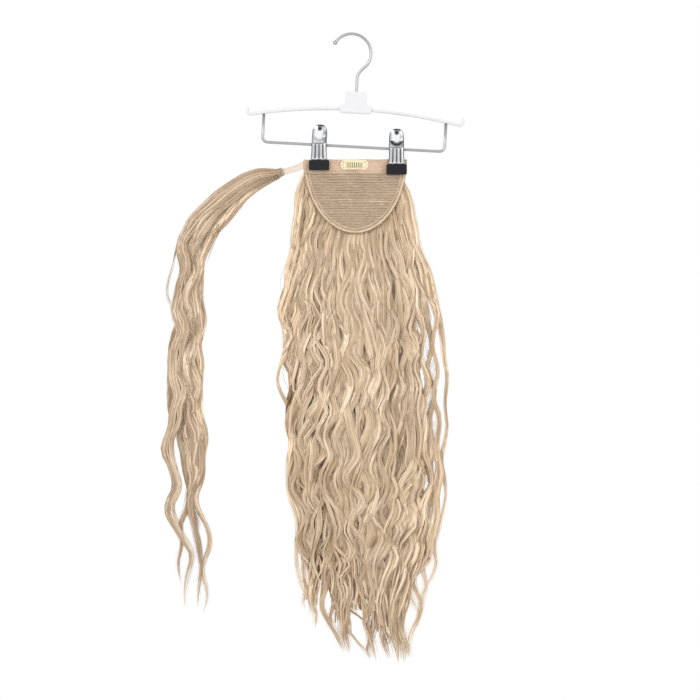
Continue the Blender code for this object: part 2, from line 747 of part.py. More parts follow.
def build_wrap_strand(parts):
    """Strand that wraps round the tie: wavy locks fused along one path, parting near their tips."""
    locks = []
    for k in range(WRAP_LOCKS):
        spread = 2 * k / (WRAP_LOCKS - 1) - 1
        length = 1.0 - 0.09 * (k % 3)
        points, scales = [], []
        for i in range(WRAP_LOCK_STATIONS):
            t = i / (WRAP_LOCK_STATIONS - 1)
            place, across, half = wrap_place(length * t)
            wave = 0.17 * sin(2 * pi * (7.3 * t + 0.37 * k)) + 0.10 * sin(2 * pi * (3.1 * t + 0.23 * k))
            ease = min(1.0, 3 * t)
            parting = 1.0 + 0.5 * max(0.0, t - 0.7) / 0.3
            offset = half * (0.56 * spread * parting + wave * ease)
            depth = 0.0022 * ease * cos(2 * pi * (3 * t + 0.31 * k))
            points.append(place + across * offset + Vector((0, depth, 0)))
            thin = 1.0 if t < 0.72 else 1.0 - 0.78 * (t - 0.72) / 0.28
            scales.append(max(LOCK_TIP_RADIUS, half * 0.38 * thin))
        data = round_curve(f"wrap_lock_{k}", points, 1.0, scales, LOCK_SIDES_RESOLUTION)
        locks.append(as_mesh(new_object(f"wrap_lock_{k}", data, None, parts)))
    fuse("wrap_strand", locks[2], locks[:2] + locks[3:], BLOND_HAIR, parts)


def core_mesh():
    """Body of the fall that the locks stand out from, and the wefted pad behind the cap."""
    heights = [-0.1625, -0.190, -0.222, -0.245, -0.270, -0.302, -0.366, -0.431, -0.500, -0.560, CORE_END_Z]
    rings = []
    for z, front, back in NECK_ROWS:
        rings.append(core_ring(NECK_LEFT, NECK_RIGHT, front, back, z, 1.0))
    for z in heights:
        left, right, front, back = fall_outline(z)
        below = (heights[0] - z) / (heights[0] - CORE_END_Z)
        shrink = 0.97 - 0.22 * below**1.5
        rings.append(core_ring(left, right, front, back, z, shrink))
    return loft_mesh("fall_core", rings)


def core_ring(left, right, front, back, z, shrink):
    """Section of the core: an ellipse-like loop, flatter at the front and back than an ellipse."""
    centre_x, half_x = (left + right) / 2, (right - left) / 2 * shrink
    centre_y, half_y = (front + back) / 2, (back - front) / 2 * shrink
    ring = []
    for k in range(CORE_SIDES):
        angle = 2 * pi * k / CORE_SIDES
        c, s = cos(angle), sin(angle)
        flat_c, flat_s = (abs(v) ** 0.75 * (1 if v > 0 else -1) for v in (c, s))
        ring.append(Vector((centre_x + half_x * flat_c, centre_y + half_y * flat_s, z)))
    return ring


def fall_lock(name, share, layer, root_z, order, parts):
    """One wavy lock of the fall. Layer is -1 on the front, 1 on the back, 0 between them."""
    tip_z = smooth_value(*(column(TIP_ROWS, TIP_COLUMNS, c) for c in TIP_COLUMNS), share)
    tip_z += 0.020 * ((order * 7) % 5) / 4 * (1 if tip_z < -0.66 else 0)
    locks_in_layer = FALL_FRONT_LOCKS if layer < 0 else FALL_BACK_LOCKS
    points, scales = [], []
    for i in range(FALL_LOCK_STATIONS):
        t = i / (FALL_LOCK_STATIONS - 1)
        z = root_z + (tip_z - root_z) * t
        left, right, front, back = fall_outline(z)
        radius = 0.62 * (right - left) / locks_in_layer
        radius = min(radius, 0.42 * (back - front))
        radius *= min(1.0, 0.45 + 1.8 * t)
        if t > 0.72:
            radius *= 1 - 0.9 * (t - 0.72) / 0.28
        radius = max(radius, LOCK_TIP_RADIUS)
        swing = 0.0042 * min(1.0, 4 * t) * (0.7 + 0.8 * t)
        phase = 2 * pi * ((root_z - z) / LOCK_WAVELENGTH + 0.381 * order)
        inner_left, inner_right = left + radius + swing, right - radius - swing
        x = inner_left + (inner_right - inner_left) * share + swing * sin(phase)
        ripple = 0.0016 * t * cos(phase * 0.9)
        y = (front + back) / 2 + layer * ((back - front) / 2 - radius - 0.0016 * t) + ripple
        points.append(Vector((x, y, z)))
        scales.append(radius)
    data = round_curve(name, points, 1.0, scales, LOCK_SIDES_RESOLUTION)
    return as_mesh(new_object(name, data, None, parts))


def build_fall(parts):
    """The ponytail itself: wavy locks fused to the pad behind the cap."""
    front_root_z, back_root_z, side_root_z = -0.2330, -0.1690, -0.1720
    locks = []
    for k in range(FALL_FRONT_LOCKS):
        share = k / (FALL_FRONT_LOCKS - 1)
        locks.append(fall_lock(f"front_lock_{k}", share, -1, front_root_z, k, parts))
    for k in range(FALL_BACK_LOCKS):
        share = (k + 0.5) / FALL_BACK_LOCKS
        locks.append(fall_lock(f"back_lock_{k}", share, 1, back_root_z, k + 3, parts))
    for k, share in enumerate((0.0, 1.0)):
        locks.append(fall_lock(f"side_lock_{k}", share, 0, side_root_z, 2 * k + 5, parts))
    core = new_object("fall_core", core_mesh(), None, parts)
    fuse("ponytail_fall", core, locks, BLOND_HAIR, parts)


def main():
    for obj in list(bpy.data.objects):
        bpy.data.objects.remove(obj)
    scene = bpy.context.scene
    parts = bpy.data.collections.new("ponytail_hairpiece")
    cutters = bpy.data.collections.new("cutters")
    scene.collection.children.link(parts)
    scene.collection.children.link(cutters)
    build_hanger(parts, cutters)
    build_band(parts)
    build_panel(parts)
    build_binding(parts)
    build_comb(parts)
    build_strap_and_cuff(parts)
    build_wrap_strand(parts)
    build_fall(parts)
    for obj in parts.objects:
        if obj.type == "MESH":
            obj.data.shade_smooth()
            obj.data.set_sharp_from_angle(angle=radians(40))


main()
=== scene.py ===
"""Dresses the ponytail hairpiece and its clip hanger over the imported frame.

Lengths are metres. The cap's inner side faces -Y, where the camera is.
"""

from math import cos, pi, radians, sin, sqrt

import bmesh
import bpy
import numpy as np
from mathutils import Matrix, Vector


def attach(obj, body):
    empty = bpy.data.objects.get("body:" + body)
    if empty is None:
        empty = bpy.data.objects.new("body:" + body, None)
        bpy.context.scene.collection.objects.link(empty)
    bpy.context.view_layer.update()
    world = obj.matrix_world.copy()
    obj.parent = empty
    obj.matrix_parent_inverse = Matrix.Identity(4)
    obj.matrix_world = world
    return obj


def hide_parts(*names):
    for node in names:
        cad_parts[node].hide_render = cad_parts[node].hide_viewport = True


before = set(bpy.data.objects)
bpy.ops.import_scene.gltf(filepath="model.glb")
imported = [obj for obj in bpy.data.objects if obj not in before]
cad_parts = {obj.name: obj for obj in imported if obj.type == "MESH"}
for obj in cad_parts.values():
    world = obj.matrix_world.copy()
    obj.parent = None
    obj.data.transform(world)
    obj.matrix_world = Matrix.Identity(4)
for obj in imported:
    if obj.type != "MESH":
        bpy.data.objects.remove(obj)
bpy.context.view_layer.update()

BODY, COMB_BODY = "hairpiece", "comb"
RNG = np.random.default_rng(20)

# Photo: one pixel is this many metres at the plane of the band.
PIXEL = 0.00115
PIXEL_ORIGIN = (352.5, 35.3)

HANGER_TILT = radians(3.1)
HANGER_CENTRE_X = 0.0080
HOOK_RADIUS = 0.0224
HOOK_WIRE = 0.0017
PLATE_TOP_Z = -0.0650
BAR_CROWN_Z = -0.0848
BAR_HALF_SPAN = 0.1200
BAR_DROP = 0.0119
BAR_RADIUS = 0.0020
RAIL_RADIUS = 0.0017
RAIL_Z = -0.1280
RAIL_HALF_SPAN = 0.1048
# Clips: side, place along the rail, how strongly painted shade darkens the jaw's lower lip, how far its
# top leans.
CLIPS = (("left", -0.0396, 0.30, 0.0014), ("right", 0.0496, 0.97, 0.0))

CAP_X = 0.0032
CAP_TOP_Z = -0.1428
CAP_HALF_WIDTH = 0.0595
CAP_DEPTH = 0.0850
CAP_CUP = 0.0035
BAND_HEIGHT = 0.0161
BAND_THICKNESS = 0.0020
BINDING_WIDTH = 0.0062
TAPE_WIDTH = 0.0072
PANEL_THICKNESS = 0.0014
RIB_PITCH = 0.0030

COMB_X = 0.0023
COMB_TOP_Z = -0.1434

# The fall's outline for its inner locks: z, left, right, front and back. Its edge locks are
# traced below.
FALL_ROWS = [
    (-0.1430, -0.0480, 0.0560, 0.0015, 0.0070),
    (-0.1640, -0.0560, 0.0610, 0.0022, 0.0130),
    (-0.1894, -0.0620, 0.0660, 0.0034, 0.0190),
    (-0.2216, -0.0660, 0.0730, 0.0036, 0.0240),
    (-0.2350, -0.0690, 0.0770, 0.0000, 0.0255),
    (-0.2538, -0.0730, 0.0820, -0.0060, 0.0270),
    (-0.3021, -0.0790, 0.0900, -0.0150, 0.0290),
    (-0.3665, -0.0750, 0.0960, -0.0190, 0.0300),
    (-0.4309, -0.0720, 0.0990, -0.0200, 0.0290),
    (-0.5011, -0.0720, 0.0990, -0.0190, 0.0270),
    (-0.5735, -0.0600, 0.0960, -0.0160, 0.0240),
    (-0.6379, -0.0500, 0.0800, -0.0120, 0.0200),
    (-0.6954, -0.0440, 0.0700, -0.0070, 0.0150),
    (-0.7230, -0.0400, 0.0650, -0.0040, 0.0110),
]

# Where the locks from each share on end: share, u, v and half width in pixels of the photo.
TUFT_ROWS = [
    (-1.00, 310.0, 612, 4.0),
    (0.08, 316.0, 606, 4.0),
    (0.14, 334.0, 628, 6.0),
    (0.24, 343.0, 638, 5.0),
    (0.32, 354.0, 612, 6.0),
    (0.40, 372.0, 636, 5.0),
    (0.50, 380.0, 640, 6.0),
    (0.62, 388.0, 645, 5.0),
    (0.74, 396.0, 648, 5.0),
    (0.84, 402.0, 640, 5.0),
    (0.92, 410.0, 622, 5.0),
]

# Locks along the fall's two sides: u, v and half width in pixels of the photo. Their depths,
# in metres, follow them.
EDGE_LOCKS = [
    [
        (308, 170, 2.0), (303, 180, 3.2), (300, 192, 4.0), (298.5, 204, 4.0), (297.5, 216, 4.0),
        (297, 230, 4.2), (295, 246, 4.5), (292, 262, 5.0), (290, 280, 5.0), (287, 297, 4.8),
        (283.5, 310, 4.2), (284, 322, 4.0), (288, 334, 4.0), (288.5, 346, 4.0), (285, 356, 2.5),
        (280, 365, 1.4), (277, 376, 1.3), (278, 386, 1.3), (282, 396, 1.4), (288, 405, 2.0),
        (292.5, 418, 3.0), (293, 440, 4.0), (292, 460, 4.0), (290, 472, 3.0), (287, 483, 1.2),
        (288, 491, 1.2), (292, 501, 2.0), (297, 514, 2.5), (299, 528, 2.5), (298.5, 540, 2.0),
        (295.5, 552, 1.2), (296, 564, 1.1), (299, 577, 1.2), (303, 588, 1.3), (309, 598, 1.4),
        (314, 609, 1.4), (317.5, 619, 1.2), (315, 630, 0.5),
    ],
    [
        (311, 180, 2.0), (313, 200, 2.5), (312, 215, 3.0), (307, 230, 4.5), (303, 246, 5.0),
        (299, 262, 5.0), (297, 280, 5.0), (294, 297, 5.0), (291, 312, 4.5), (291, 325, 4.5),
        (293, 338, 5.0), (294, 352, 4.5), (292.5, 365, 4.0), (292, 380, 4.0), (294, 395, 4.5),
        (297, 410, 5.0), (297, 430, 5.0), (297, 450, 5.0), (296, 470, 5.0), (296, 485, 4.5),
        (299, 500, 4.0), (302, 515, 3.5), (304, 530, 3.5), (304, 545, 3.5), (302, 560, 3.0),
        (304, 575, 2.5), (306.5, 588, 2.0), (309, 600, 1.6), (310, 612, 1.2), (309, 622, 0.6),
    ],
    [
        (301, 512, 2.5), (303.5, 532, 4.0), (311, 545, 4.8), (316, 556, 4.6), (315, 568, 4.0),
        (311.5, 578, 3.2), (309.5, 591, 2.4), (311.6, 602, 2.0), (316, 614, 1.6), (315, 629, 0.5),
    ],
    [
        (300, 540, 1.0), (303, 555, 1.0), (302, 570, 0.9), (305, 582, 0.9), (305.5, 593, 0.8),
        (303.5, 602, 0.8), (305, 610, 0.5),
    ],
    [
        (400, 177, 2.6), (402.5, 184, 3.2), (407, 195, 4.2), (410.5, 208, 5.0), (412, 222, 5.0),
        (413.5, 238, 5.0), (419, 252, 5.0), (424.5, 265, 4.6), (428.5, 280, 4.6), (433.5, 295, 4.6),
        (437.5, 310, 4.0), (440, 325, 3.2), (442.5, 340, 2.6), (445, 355, 2.2), (446.5, 375, 1.8),
        (446.5, 400, 1.8), (446, 425, 1.6), (444.5, 445, 1.8), (442, 462, 2.4), (442, 478, 2.0),
        (445, 489, 1.2), (447.5, 498, 1.1), (446, 507, 1.1), (441.5, 515, 1.4), (437, 526, 1.6),
        (434.5, 540, 1.8), (436.5, 552, 1.6), (437.5, 562, 1.4), (433, 571, 1.4), (428.5, 580, 1.2),
        (424, 590, 1.0), (421, 599, 0.6),
    ],
    [
        (403, 215, 2.5), (409, 235, 4.0), (417, 256, 4.5), (424, 275, 4.5), (430, 292, 4.0),
        (434.5, 308, 3.2), (436.5, 320, 2.6), (436, 332, 2.0), (433.5, 344, 1.7), (432.5, 354, 1.7),
        (435, 363, 1.7), (438, 371, 1.8), (438, 379, 1.8), (435, 387, 1.7), (433, 396, 1.8),
        (434.5, 406, 2.0), (438, 416, 2.2), (440, 428, 2.4), (438.5, 440, 2.4), (436.5, 450, 2.6),
        (436, 460, 3.4), (438, 470, 4.2), (439, 482, 4.4), (437, 495, 4.0), (434, 508, 4.0),
        (433.5, 522, 4.0), (432, 542, 4.0), (428, 556, 4.0), (420, 567, 3.6), (413, 578, 3.0),
        (416, 588, 2.6), (419, 598, 2.4), (420, 608, 2.2), (418, 621, 2.4), (412, 633, 3.0),
        (408.5, 642, 2.4), (409.5, 652, 1.6), (412.5, 661, 0.6),
    ],
    [
        (400, 225, 3.0), (408, 250, 4.0), (416, 275, 4.0), (422, 295, 4.0), (425.5, 310, 3.4),
        (428.5, 323, 3.0), (431, 336, 2.2), (431, 348, 1.7), (429, 358, 1.7), (429, 368, 1.8),
        (431, 379, 1.8), (433.5, 390, 2.0), (433, 402, 2.2), (431, 415, 2.6), (430, 430, 3.0),
        (430, 445, 3.6), (430.5, 460, 3.4), (432, 475, 2.8), (432, 490, 3.4), (428, 503, 4.0),
        (426, 520, 4.4), (426.5, 540, 4.0), (427, 555, 3.0), (424, 567, 2.0), (425, 577, 1.2),
        (424, 588, 1.2), (421.5, 597, 1.4), (423, 607, 1.2), (420.5, 618, 1.0), (417, 628, 0.6),
    ],
    [
        (398, 240, 3.0), (407, 268, 3.6), (414, 290, 3.6), (417.5, 308, 3.2), (420, 322, 3.0),
        (423, 335, 2.4), (424, 347, 2.0), (421.5, 357, 1.8), (422.5, 367, 1.8), (426, 377, 2.4),
        (427.5, 388, 3.0), (425.5, 400, 3.0), (423, 412, 3.2), (422.5, 428, 3.6), (423.5, 445, 3.6),
        (426, 458, 2.6), (430, 470, 2.0), (431, 482, 2.0), (428.5, 493, 2.6), (424, 506, 3.6),
        (421, 522, 4.0), (421, 540, 4.0), (420, 555, 3.4), (416, 568, 2.6), (411, 578, 2.0),
        (409.5, 588, 1.8), (413, 598, 1.6), (417, 607, 1.6), (418, 617, 1.2), (415, 628, 0.6),
    ],
    [
        (394, 250, 3.0), (401, 280, 3.4), (406, 305, 3.2), (410, 322, 3.0), (413, 335, 2.2),
        (413.5, 347, 1.7), (413, 358, 1.7), (416, 368, 1.7), (419, 379, 2.0), (421.5, 390, 2.4),
        (420.5, 402, 2.4), (417, 415, 3.0), (415.5, 430, 3.6), (417, 446, 3.6), (420.5, 459, 3.0),
        (421, 470, 1.8), (420, 482, 1.8), (423, 493, 2.0), (422, 506, 3.0), (416, 522, 3.6),
        (413, 540, 3.6), (414, 556, 3.0), (411, 568, 2.4), (408.5, 578, 2.0), (405, 588, 2.0),
        (402, 598, 1.8), (400, 610, 1.6), (403, 622, 1.4), (406, 635, 1.2), (407, 650, 1.0),
        (405, 660, 0.5),
    ],
]
EDGE_LOCKS += [
    [
        (310, 175, 2.2), (308.5, 186, 3.0), (308, 200, 3.4), (309.5, 214, 3.6), (307, 228, 4.0),
        (303.5, 243, 4.4), (305, 258, 4.4), (308, 273, 4.2), (306, 288, 4.0), (301, 303, 4.0),
        (299, 318, 3.6), (302, 333, 3.0), (305, 348, 1.5),
    ],
    [
        (397, 178, 2.2), (399.5, 188, 3.4), (401.5, 202, 4.8), (400.5, 216, 5.0), (402.5, 230, 4.8),
        (409, 244, 4.2), (411, 258, 4.2), (408.5, 272, 4.2), (409, 286, 4.0), (414, 300, 4.0),
        (417, 315, 3.4), (415, 330, 2.6), (412, 344, 1.2),
    ],
]
EDGE_DEPTHS = (0.002, 0.006, 0.003, 0.008, 0.003, 0.000, 0.003, -0.003, 0.002, 0.004, 0.004)

# Locks that end in the tufts at the fall's foot: depth in metres, then rows.
FOOT_LOCKS = [
    (-0.006, [
        (341, 500, 3.0), (335, 514, 4.0), (332.7, 528, 4.0), (330, 546, 4.5), (326, 563.5, 4.5),
        (326, 579, 4.0), (322, 594, 3.0), (322, 607, 2.2), (328.8, 623, 2.5), (336.7, 634.7, 2.8),
        (343.3, 646.5, 2.2), (346, 654, 0.6),
    ]),
    (-0.002, [
        (352, 515, 3.0), (356, 529, 3.5), (353.8, 542, 3.5), (343, 554, 4.0), (342, 566, 4.0),
        (347, 576.7, 4.0), (349.9, 593.8, 4.5), (343.3, 609.6, 5.0), (343.3, 625.5, 4.5),
        (345.9, 638.6, 3.5), (349, 653, 0.8),
    ]),
    (-0.004, [
        (350, 590, 0.9), (344, 603, 1.0), (343, 614, 1.1), (346, 624, 1.2), (351, 633, 1.2),
        (359, 642.6, 1.0), (367, 650.5, 0.9), (370, 657, 0.4),
    ]),
    (0.001, [
        (345, 600, 0.8), (350, 611, 0.8), (358, 616, 0.7), (366, 623, 0.7), (369, 632, 0.7),
        (368, 641, 0.4),
    ]),
    (0.002, [
        (362, 520, 3.0), (366, 537, 3.6), (364, 552, 4.0), (359, 566, 4.0), (355, 580, 4.4),
        (353, 594, 4.2), (354, 606, 3.0), (351, 616, 0.8),
    ]),
    (-0.005, [
        (370, 530, 3.0), (366, 546, 3.4), (368, 562, 3.6), (373, 577, 3.4), (372.3, 593.8, 3.0),
        (369.6, 609.6, 3.0), (365.7, 624, 2.2), (369.6, 634.7, 2.5), (372.3, 645, 2.4), (376.5, 661, 0.6),
    ]),
    (-0.001, [
        (376, 545, 3.4), (382, 561, 3.8), (385, 578, 4.0), (380, 599, 4.0), (377.5, 615, 3.6),
        (372.3, 628, 3.0), (369.6, 638.6, 2.2), (367, 650.5, 1.5), (371, 660, 0.6),
    ]),
    (0.003, [
        (380, 540, 3.2), (378, 556, 3.8), (381, 571, 4.0), (384, 586, 4.0), (385.5, 604, 4.5),
        (384, 620, 4.5), (381.5, 633, 4.0), (385.5, 646.5, 3.0), (389.4, 660, 0.8),
    ]),
    (-0.004, [
        (392, 550, 3.4), (387, 566, 3.8), (389, 582, 4.0), (393.4, 599, 4.0), (392, 617.5, 4.5),
        (394.7, 633, 4.0), (396, 646.5, 3.0), (398.6, 663, 0.8),
    ]),
    (-0.002, [
        (404, 545, 3.4), (400, 562, 3.8), (396, 578, 4.0), (398.6, 593.8, 4.0), (398.6, 612, 3.5),
        (400, 630.7, 3.6), (404, 643, 3.4), (404, 663, 0.9),
    ]),
    (0.004, [
        (416, 548, 3.0), (414, 562, 3.6), (410.5, 576.7, 3.6), (406.5, 593.8, 3.0), (401, 604, 2.5),
        (397.6, 619, 2.6), (400, 635, 2.4), (407, 648, 1.4), (410, 659, 0.6),
    ]),
]

# The wrap strand's locks, in pixels of the photo: depth in metres, then rows.
WRAP_LOCKS = {
    "outer": (-0.0035, [
        (280.5, 172, 2.6), (270, 172.5, 4.6), (257, 174, 5.5), (243, 180, 6.0), (230, 189, 6.5),
        (216, 200, 6.5), (203, 211, 6.5), (192, 223, 6.0), (184.5, 235, 5.0), (181, 246, 4.6),
        (183, 258, 5.2), (186, 270, 5.6), (183, 283, 5.6), (178, 296, 5.6), (176.5, 308, 6.2),
        (180, 320, 6.6), (183, 332, 6.6), (179, 345, 6.6), (175, 357, 6.6), (174, 369, 6.6),
        (178, 381, 6.6), (180, 393, 6.2), (177.5, 405, 6.0), (175, 418, 5.6), (170.5, 432, 5.3),
        (167, 447, 5.4), (167.5, 456, 5.4), (172, 467, 4.6), (177.5, 480, 4.2), (176.5, 489, 4.6),
        (170, 500, 5.0), (168.8, 512, 4.8), (173.5, 524, 4.2), (181, 535, 3.6), (188, 544, 3.2),
        (192.8, 556, 2.8), (190, 568, 2.4), (185.5, 582, 2.0), (184.6, 597, 1.6), (187.5, 615, 1.0),
    ]),
    "lower": (0.0018, [
        (280.5, 174.5, 2.6), (270, 178, 4.4), (257, 184, 5.5), (243, 192, 6.0), (231, 200, 6.2),
        (222, 210, 6.6), (214, 221, 7.0), (203, 231, 7.0), (194, 241, 6.6), (189, 252, 6.2),
        (190, 264, 6.2), (195, 276, 6.2), (196, 288, 6.6), (192, 300, 6.6), (187, 312, 7.0),
        (187, 325, 7.0), (192, 337, 7.0), (195, 349, 7.0), (191, 361, 7.0), (186, 373, 7.0),
        (185, 385, 7.4), (189, 397, 7.4), (192, 409, 7.0), (188, 421, 6.4), (187, 433, 6.4),
        (190, 446, 6.8), (193, 460, 7.2), (194, 474, 7.0), (192, 488, 6.0), (190.5, 500, 4.6),
        (187.5, 508, 3.8), (182, 518, 3.2), (179.5, 528, 2.6), (182, 538, 2.4), (181, 551, 2.0),
        (178, 561, 1.6), (178, 572, 1.3), (181.5, 589, 0.8),
    ]),
    "middle": (-0.0008, [
        (280.5, 173.2, 2.8), (268, 175, 4.6), (255, 180, 5.6), (242, 188, 6.2), (229, 198, 6.6),
        (215, 210, 7.0), (204, 223, 7.0), (196.5, 235, 6.6), (193, 248, 7.0), (196, 260, 6.6),
        (197, 272, 6.2), (193, 285, 6.6), (190, 298, 7.0), (193, 311, 7.4), (197, 324, 7.0),
        (196, 337, 6.6), (190, 349, 6.6), (188, 361, 7.0), (192, 373, 7.4), (195, 385, 7.0),
        (193, 397, 6.6), (190, 410, 6.6), (194, 423, 6.6), (198, 436, 6.2), (199, 450, 6.2),
        (197, 464, 6.2), (196.5, 478, 5.6), (193, 492, 4.6), (190, 503, 3.8), (190.5, 512, 3.2),
        (193.5, 523, 2.8), (197, 534, 2.7), (199, 547, 2.5), (199.5, 558, 2.4), (202, 567, 2.2),
        (199.5, 581, 1.8), (198.2, 594, 1.4), (197.8, 607, 0.9),
    ]),
    "fringe": (0.0026, [
        (279.5, 176, 2.2), (268, 180, 3.8), (255, 187, 4.6), (243, 196, 5.4), (233, 207, 6.0),
        (224, 218, 6.2), (215, 228, 6.2), (208, 238, 5.6), (203, 250, 5.0), (200, 262, 4.6),
        (199, 274, 4.6), (198, 287, 4.6), (199, 300, 5.0), (201, 313, 5.0), (200, 326, 5.0),
        (197, 339, 4.6), (197, 352, 4.6), (199.5, 365, 4.6), (199, 378, 4.6), (196, 391, 5.0),
        (196, 404, 5.0), (200, 417, 4.6), (203, 430, 4.2), (203.5, 444, 4.2), (201, 458, 4.2),
        (200, 470, 4.4), (198, 484, 4.2), (195, 496, 3.4), (196, 505, 2.6), (200.5, 515, 2.0),
        (206.5, 526, 1.9), (210.3, 537, 1.9), (208.8, 549, 1.9), (204, 559, 2.1), (202, 570, 2.1),
        (205, 581, 1.6), (207.6, 593, 1.3), (206.5, 604, 1.1), (201.5, 617, 0.8),
    ]),
    "link": (0.0015, [
        (186, 395, 3.0), (181, 410, 2.6), (178, 425, 2.2), (179, 438, 1.8), (182, 452, 1.8),
        (184, 466, 1.8), (187, 480, 1.8), (190, 492, 2.0), (191, 503, 1.8), (194, 512, 1.4),
        (197.5, 520, 1.1), (198.5, 528, 0.9), (197, 536, 0.5),
    ]),
    "side": (0.0020, [
        (180, 318, 2.0), (175, 332, 2.8), (172, 345, 3.0), (171, 358, 3.0), (171, 372, 3.0),
        (170, 386, 3.0), (169, 398, 2.6), (169.5, 410, 2.0), (172, 422, 1.4), (174, 432, 0.6),
    ]),
}
WRAP_WISP = [
    (182, 232, 1.0), (176, 250, 1.2), (172, 268, 1.2), (168.5, 280, 1.1), (167, 290, 1.0),
    (168, 298, 1.0), (172, 307, 1.2), (175, 320, 1.0),
]
WRAP_FRINGE = [
    ((246, 190), (229, 222)), ((250, 186), (238, 214)), ((240, 197), (222, 230)),
    ((234, 203), (217, 236)), ((228, 208), (214, 244)), ((222, 214), (211, 252)),
    ((217, 222), (209, 258)), ((213, 230), (206, 266)), ((243, 193), (226, 227)),
    ((231, 206), (213, 239)), ((226, 212), (216, 240)), ((220, 220), (208, 249)),
]


def pixel(u, v):
    """Point of the band's plane at a pixel of the photo."""
    return (u - PIXEL_ORIGIN[0]) * PIXEL, 0.0, (PIXEL_ORIGIN[1] - v) * PIXEL


# Arrays and lines


def points_of(*parts):
    """Points from coordinates whose shapes fit together."""
    return np.stack(np.broadcast_arrays(*parts), axis=-1)


def bell(x, centre, width):
    """Bell curve that is 1 at its centre."""
    return np.exp(-(((x - centre) / width) ** 2))


def kernel_of(size):
    """Bell-shaped weights that add up to 1."""
    kernel = np.hanning(size)
    return kernel / kernel.sum()


def blurred(field, steps, axis):
    """A field blurred by a number of steps along one of its axes."""
    return np.apply_along_axis(np.convolve, axis, field, kernel_of(2 * steps + 3), "same")


def smooth_noise(shape, blur):
    """Noise of a shape, blurred along each axis by a number of steps."""
    field = RNG.standard_normal(shape)
    for axis, steps in enumerate(blur):
        if steps:
            field = blurred(field, steps, axis)
    return field / max(field.std(), 1e-9)


def wander(count, stations, blur, size):
    """Slow random drift for each of many lines, nothing at its start."""
    drift = blurred(RNG.standard_normal((count, stations)), blur, 1)
    drift /= drift.std()
    ease = np.clip(np.linspace(0, 1, stations) * 5, 0, 1)
    return size * drift * ease


def unit(vectors):
    """Vectors of the same directions and of length 1."""
    return vectors / np.linalg.norm(vectors, axis=-1, keepdims=True)


def run_along(points):
    """Length run along a line at each of its points."""
    return np.concatenate([[0], np.cumsum(np.linalg.norm(np.diff(points, axis=0), axis=1))])


def points_at(points, run, at):
    """Points where a line has run these lengths."""
    return np.stack([np.interp(at, run, column) for column in points.T], axis=-1)


def resample(points, count):
    """Points at even steps along a broken line."""
    run = run_along(points)
    return points_at(points, run, np.linspace(0, run[-1], count))


def bent(start, bend, end, t):
    """Curve from start to end that is drawn towards a bend. t runs from 0 to 1 along it."""
    return start * (1 - t) ** 2 + 2 * bend * t * (1 - t) + end * t * t


def ring_of(sides, first=1.0, second=1.0):
    """Round or oval section, as offsets for sweep."""
    angles = 2 * pi * np.arange(sides) / sides
    return points_of(first * np.cos(angles), second * np.sin(angles))


def round_offsets(radii, sides):
    """Round sections of these radii, for sweep."""
    return np.asarray(radii)[..., None, None] * ring_of(sides)


# Meshes


def build_mesh(name, points, quads, triangles=(), uvs=None):
    """Mesh data from arrays. uvs maps a UV map's name to one (u, v) for each point."""
    points = np.asarray(points, dtype=np.float32).reshape(-1, 3)
    quads = np.asarray(quads, dtype=np.int32).reshape(-1, 4)
    triangles = np.asarray(triangles, dtype=np.int32).reshape(-1, 3)
    corners = np.concatenate([quads.ravel(), triangles.ravel()])
    starts = (np.arange(len(quads)) * 4, len(quads) * 4 + np.arange(len(triangles)) * 3)
    starts = np.concatenate(starts).astype(np.int32)
    data = bpy.data.meshes.new(name)
    data.vertices.add(len(points))
    data.vertices.foreach_set("co", points.ravel())
    data.loops.add(len(corners))
    data.loops.foreach_set("vertex_index", corners)
    data.polygons.add(len(starts))
    data.polygons.foreach_set("loop_start", starts)
    data.polygons.foreach_set("use_smooth", np.full(len(starts), True))
    for label, values in (uvs or {}).items():
        layer = data.uv_layers.new(name=label)
        values = np.asarray(values, dtype=np.float32).reshape(-1, 2)
        layer.data.foreach_set("uv", values[corners].ravel())
    data.update(calc_edges=True)
    data.validate()
    return data


def path_frame(paths):
    """Two unit vectors across each path at each station, the first as near the Y axis as can be."""
    tangent = unit(np.gradient(paths, axis=1))
    reference = np.array([0.0, 1.0, 0.0])
    first = unit(reference - (tangent @ reference)[..., None] * tangent)
    return first, np.cross(tangent, first)


def sweep(paths, offsets):
    """Closed bodies swept along paths. paths is (count, stations, 3).

    offsets is (count, stations, sides, 2), across the path in a frame set by the Y axis. It can
    leave out its first axes. Returns the points, quads and cap triangles.
    """
    count, stations = paths.shape[:2]
    sides = offsets.shape[-2]
    first, second = (vector[:, :, None] for vector in path_frame(paths))
    points = paths[:, :, None] + offsets[..., :1] * first + offsets[..., 1:] * second
    start = np.arange(count)[:, None, None] * stations * sides
    ring = start + np.arange(stations - 1)[:, None] * sides
    k = np.arange(sides)
    after = (k + 1) % sides
    quads = np.stack([ring + k, ring + after, ring + sides + after, ring + sides + k], axis=-1)
    start = start[:, 0]
    last = start + (stations - 1) * sides
    fan = np.arange(1, sides - 1)
    top = points_of(start, start + fan + 1, start + fan)
    foot = points_of(last, last + fan, last + fan + 1)
    return points, quads, np.concatenate([top.reshape(-1, 3), foot.reshape(-1, 3)])


def strip_maps(tones, lean, paths):
    """UV maps of bodies swept along paths: tone and distance for the material, and a packed layout.

    tones and lean hold a value for each side of each body. lean runs from -1 to 1 across it.
    """
    count = len(paths)
    share = np.linspace(0, 1, paths.shape[1])[:, None]
    lengths = np.linalg.norm(np.diff(paths, axis=1), axis=2).sum(axis=1)[:, None, None]
    rows = max(1, int(round(sqrt(count / 300))))
    across = int(np.ceil(count / rows))
    index = np.arange(count)[:, None, None]
    u = index % across / across + (0.5 + 0.4 * lean[:, None]) / across
    v = index // across / rows + (0.01 + 0.98 * share) / rows
    return {"strand": points_of(tones[:, None], lengths * share), "OFBake": points_of(u, v)}


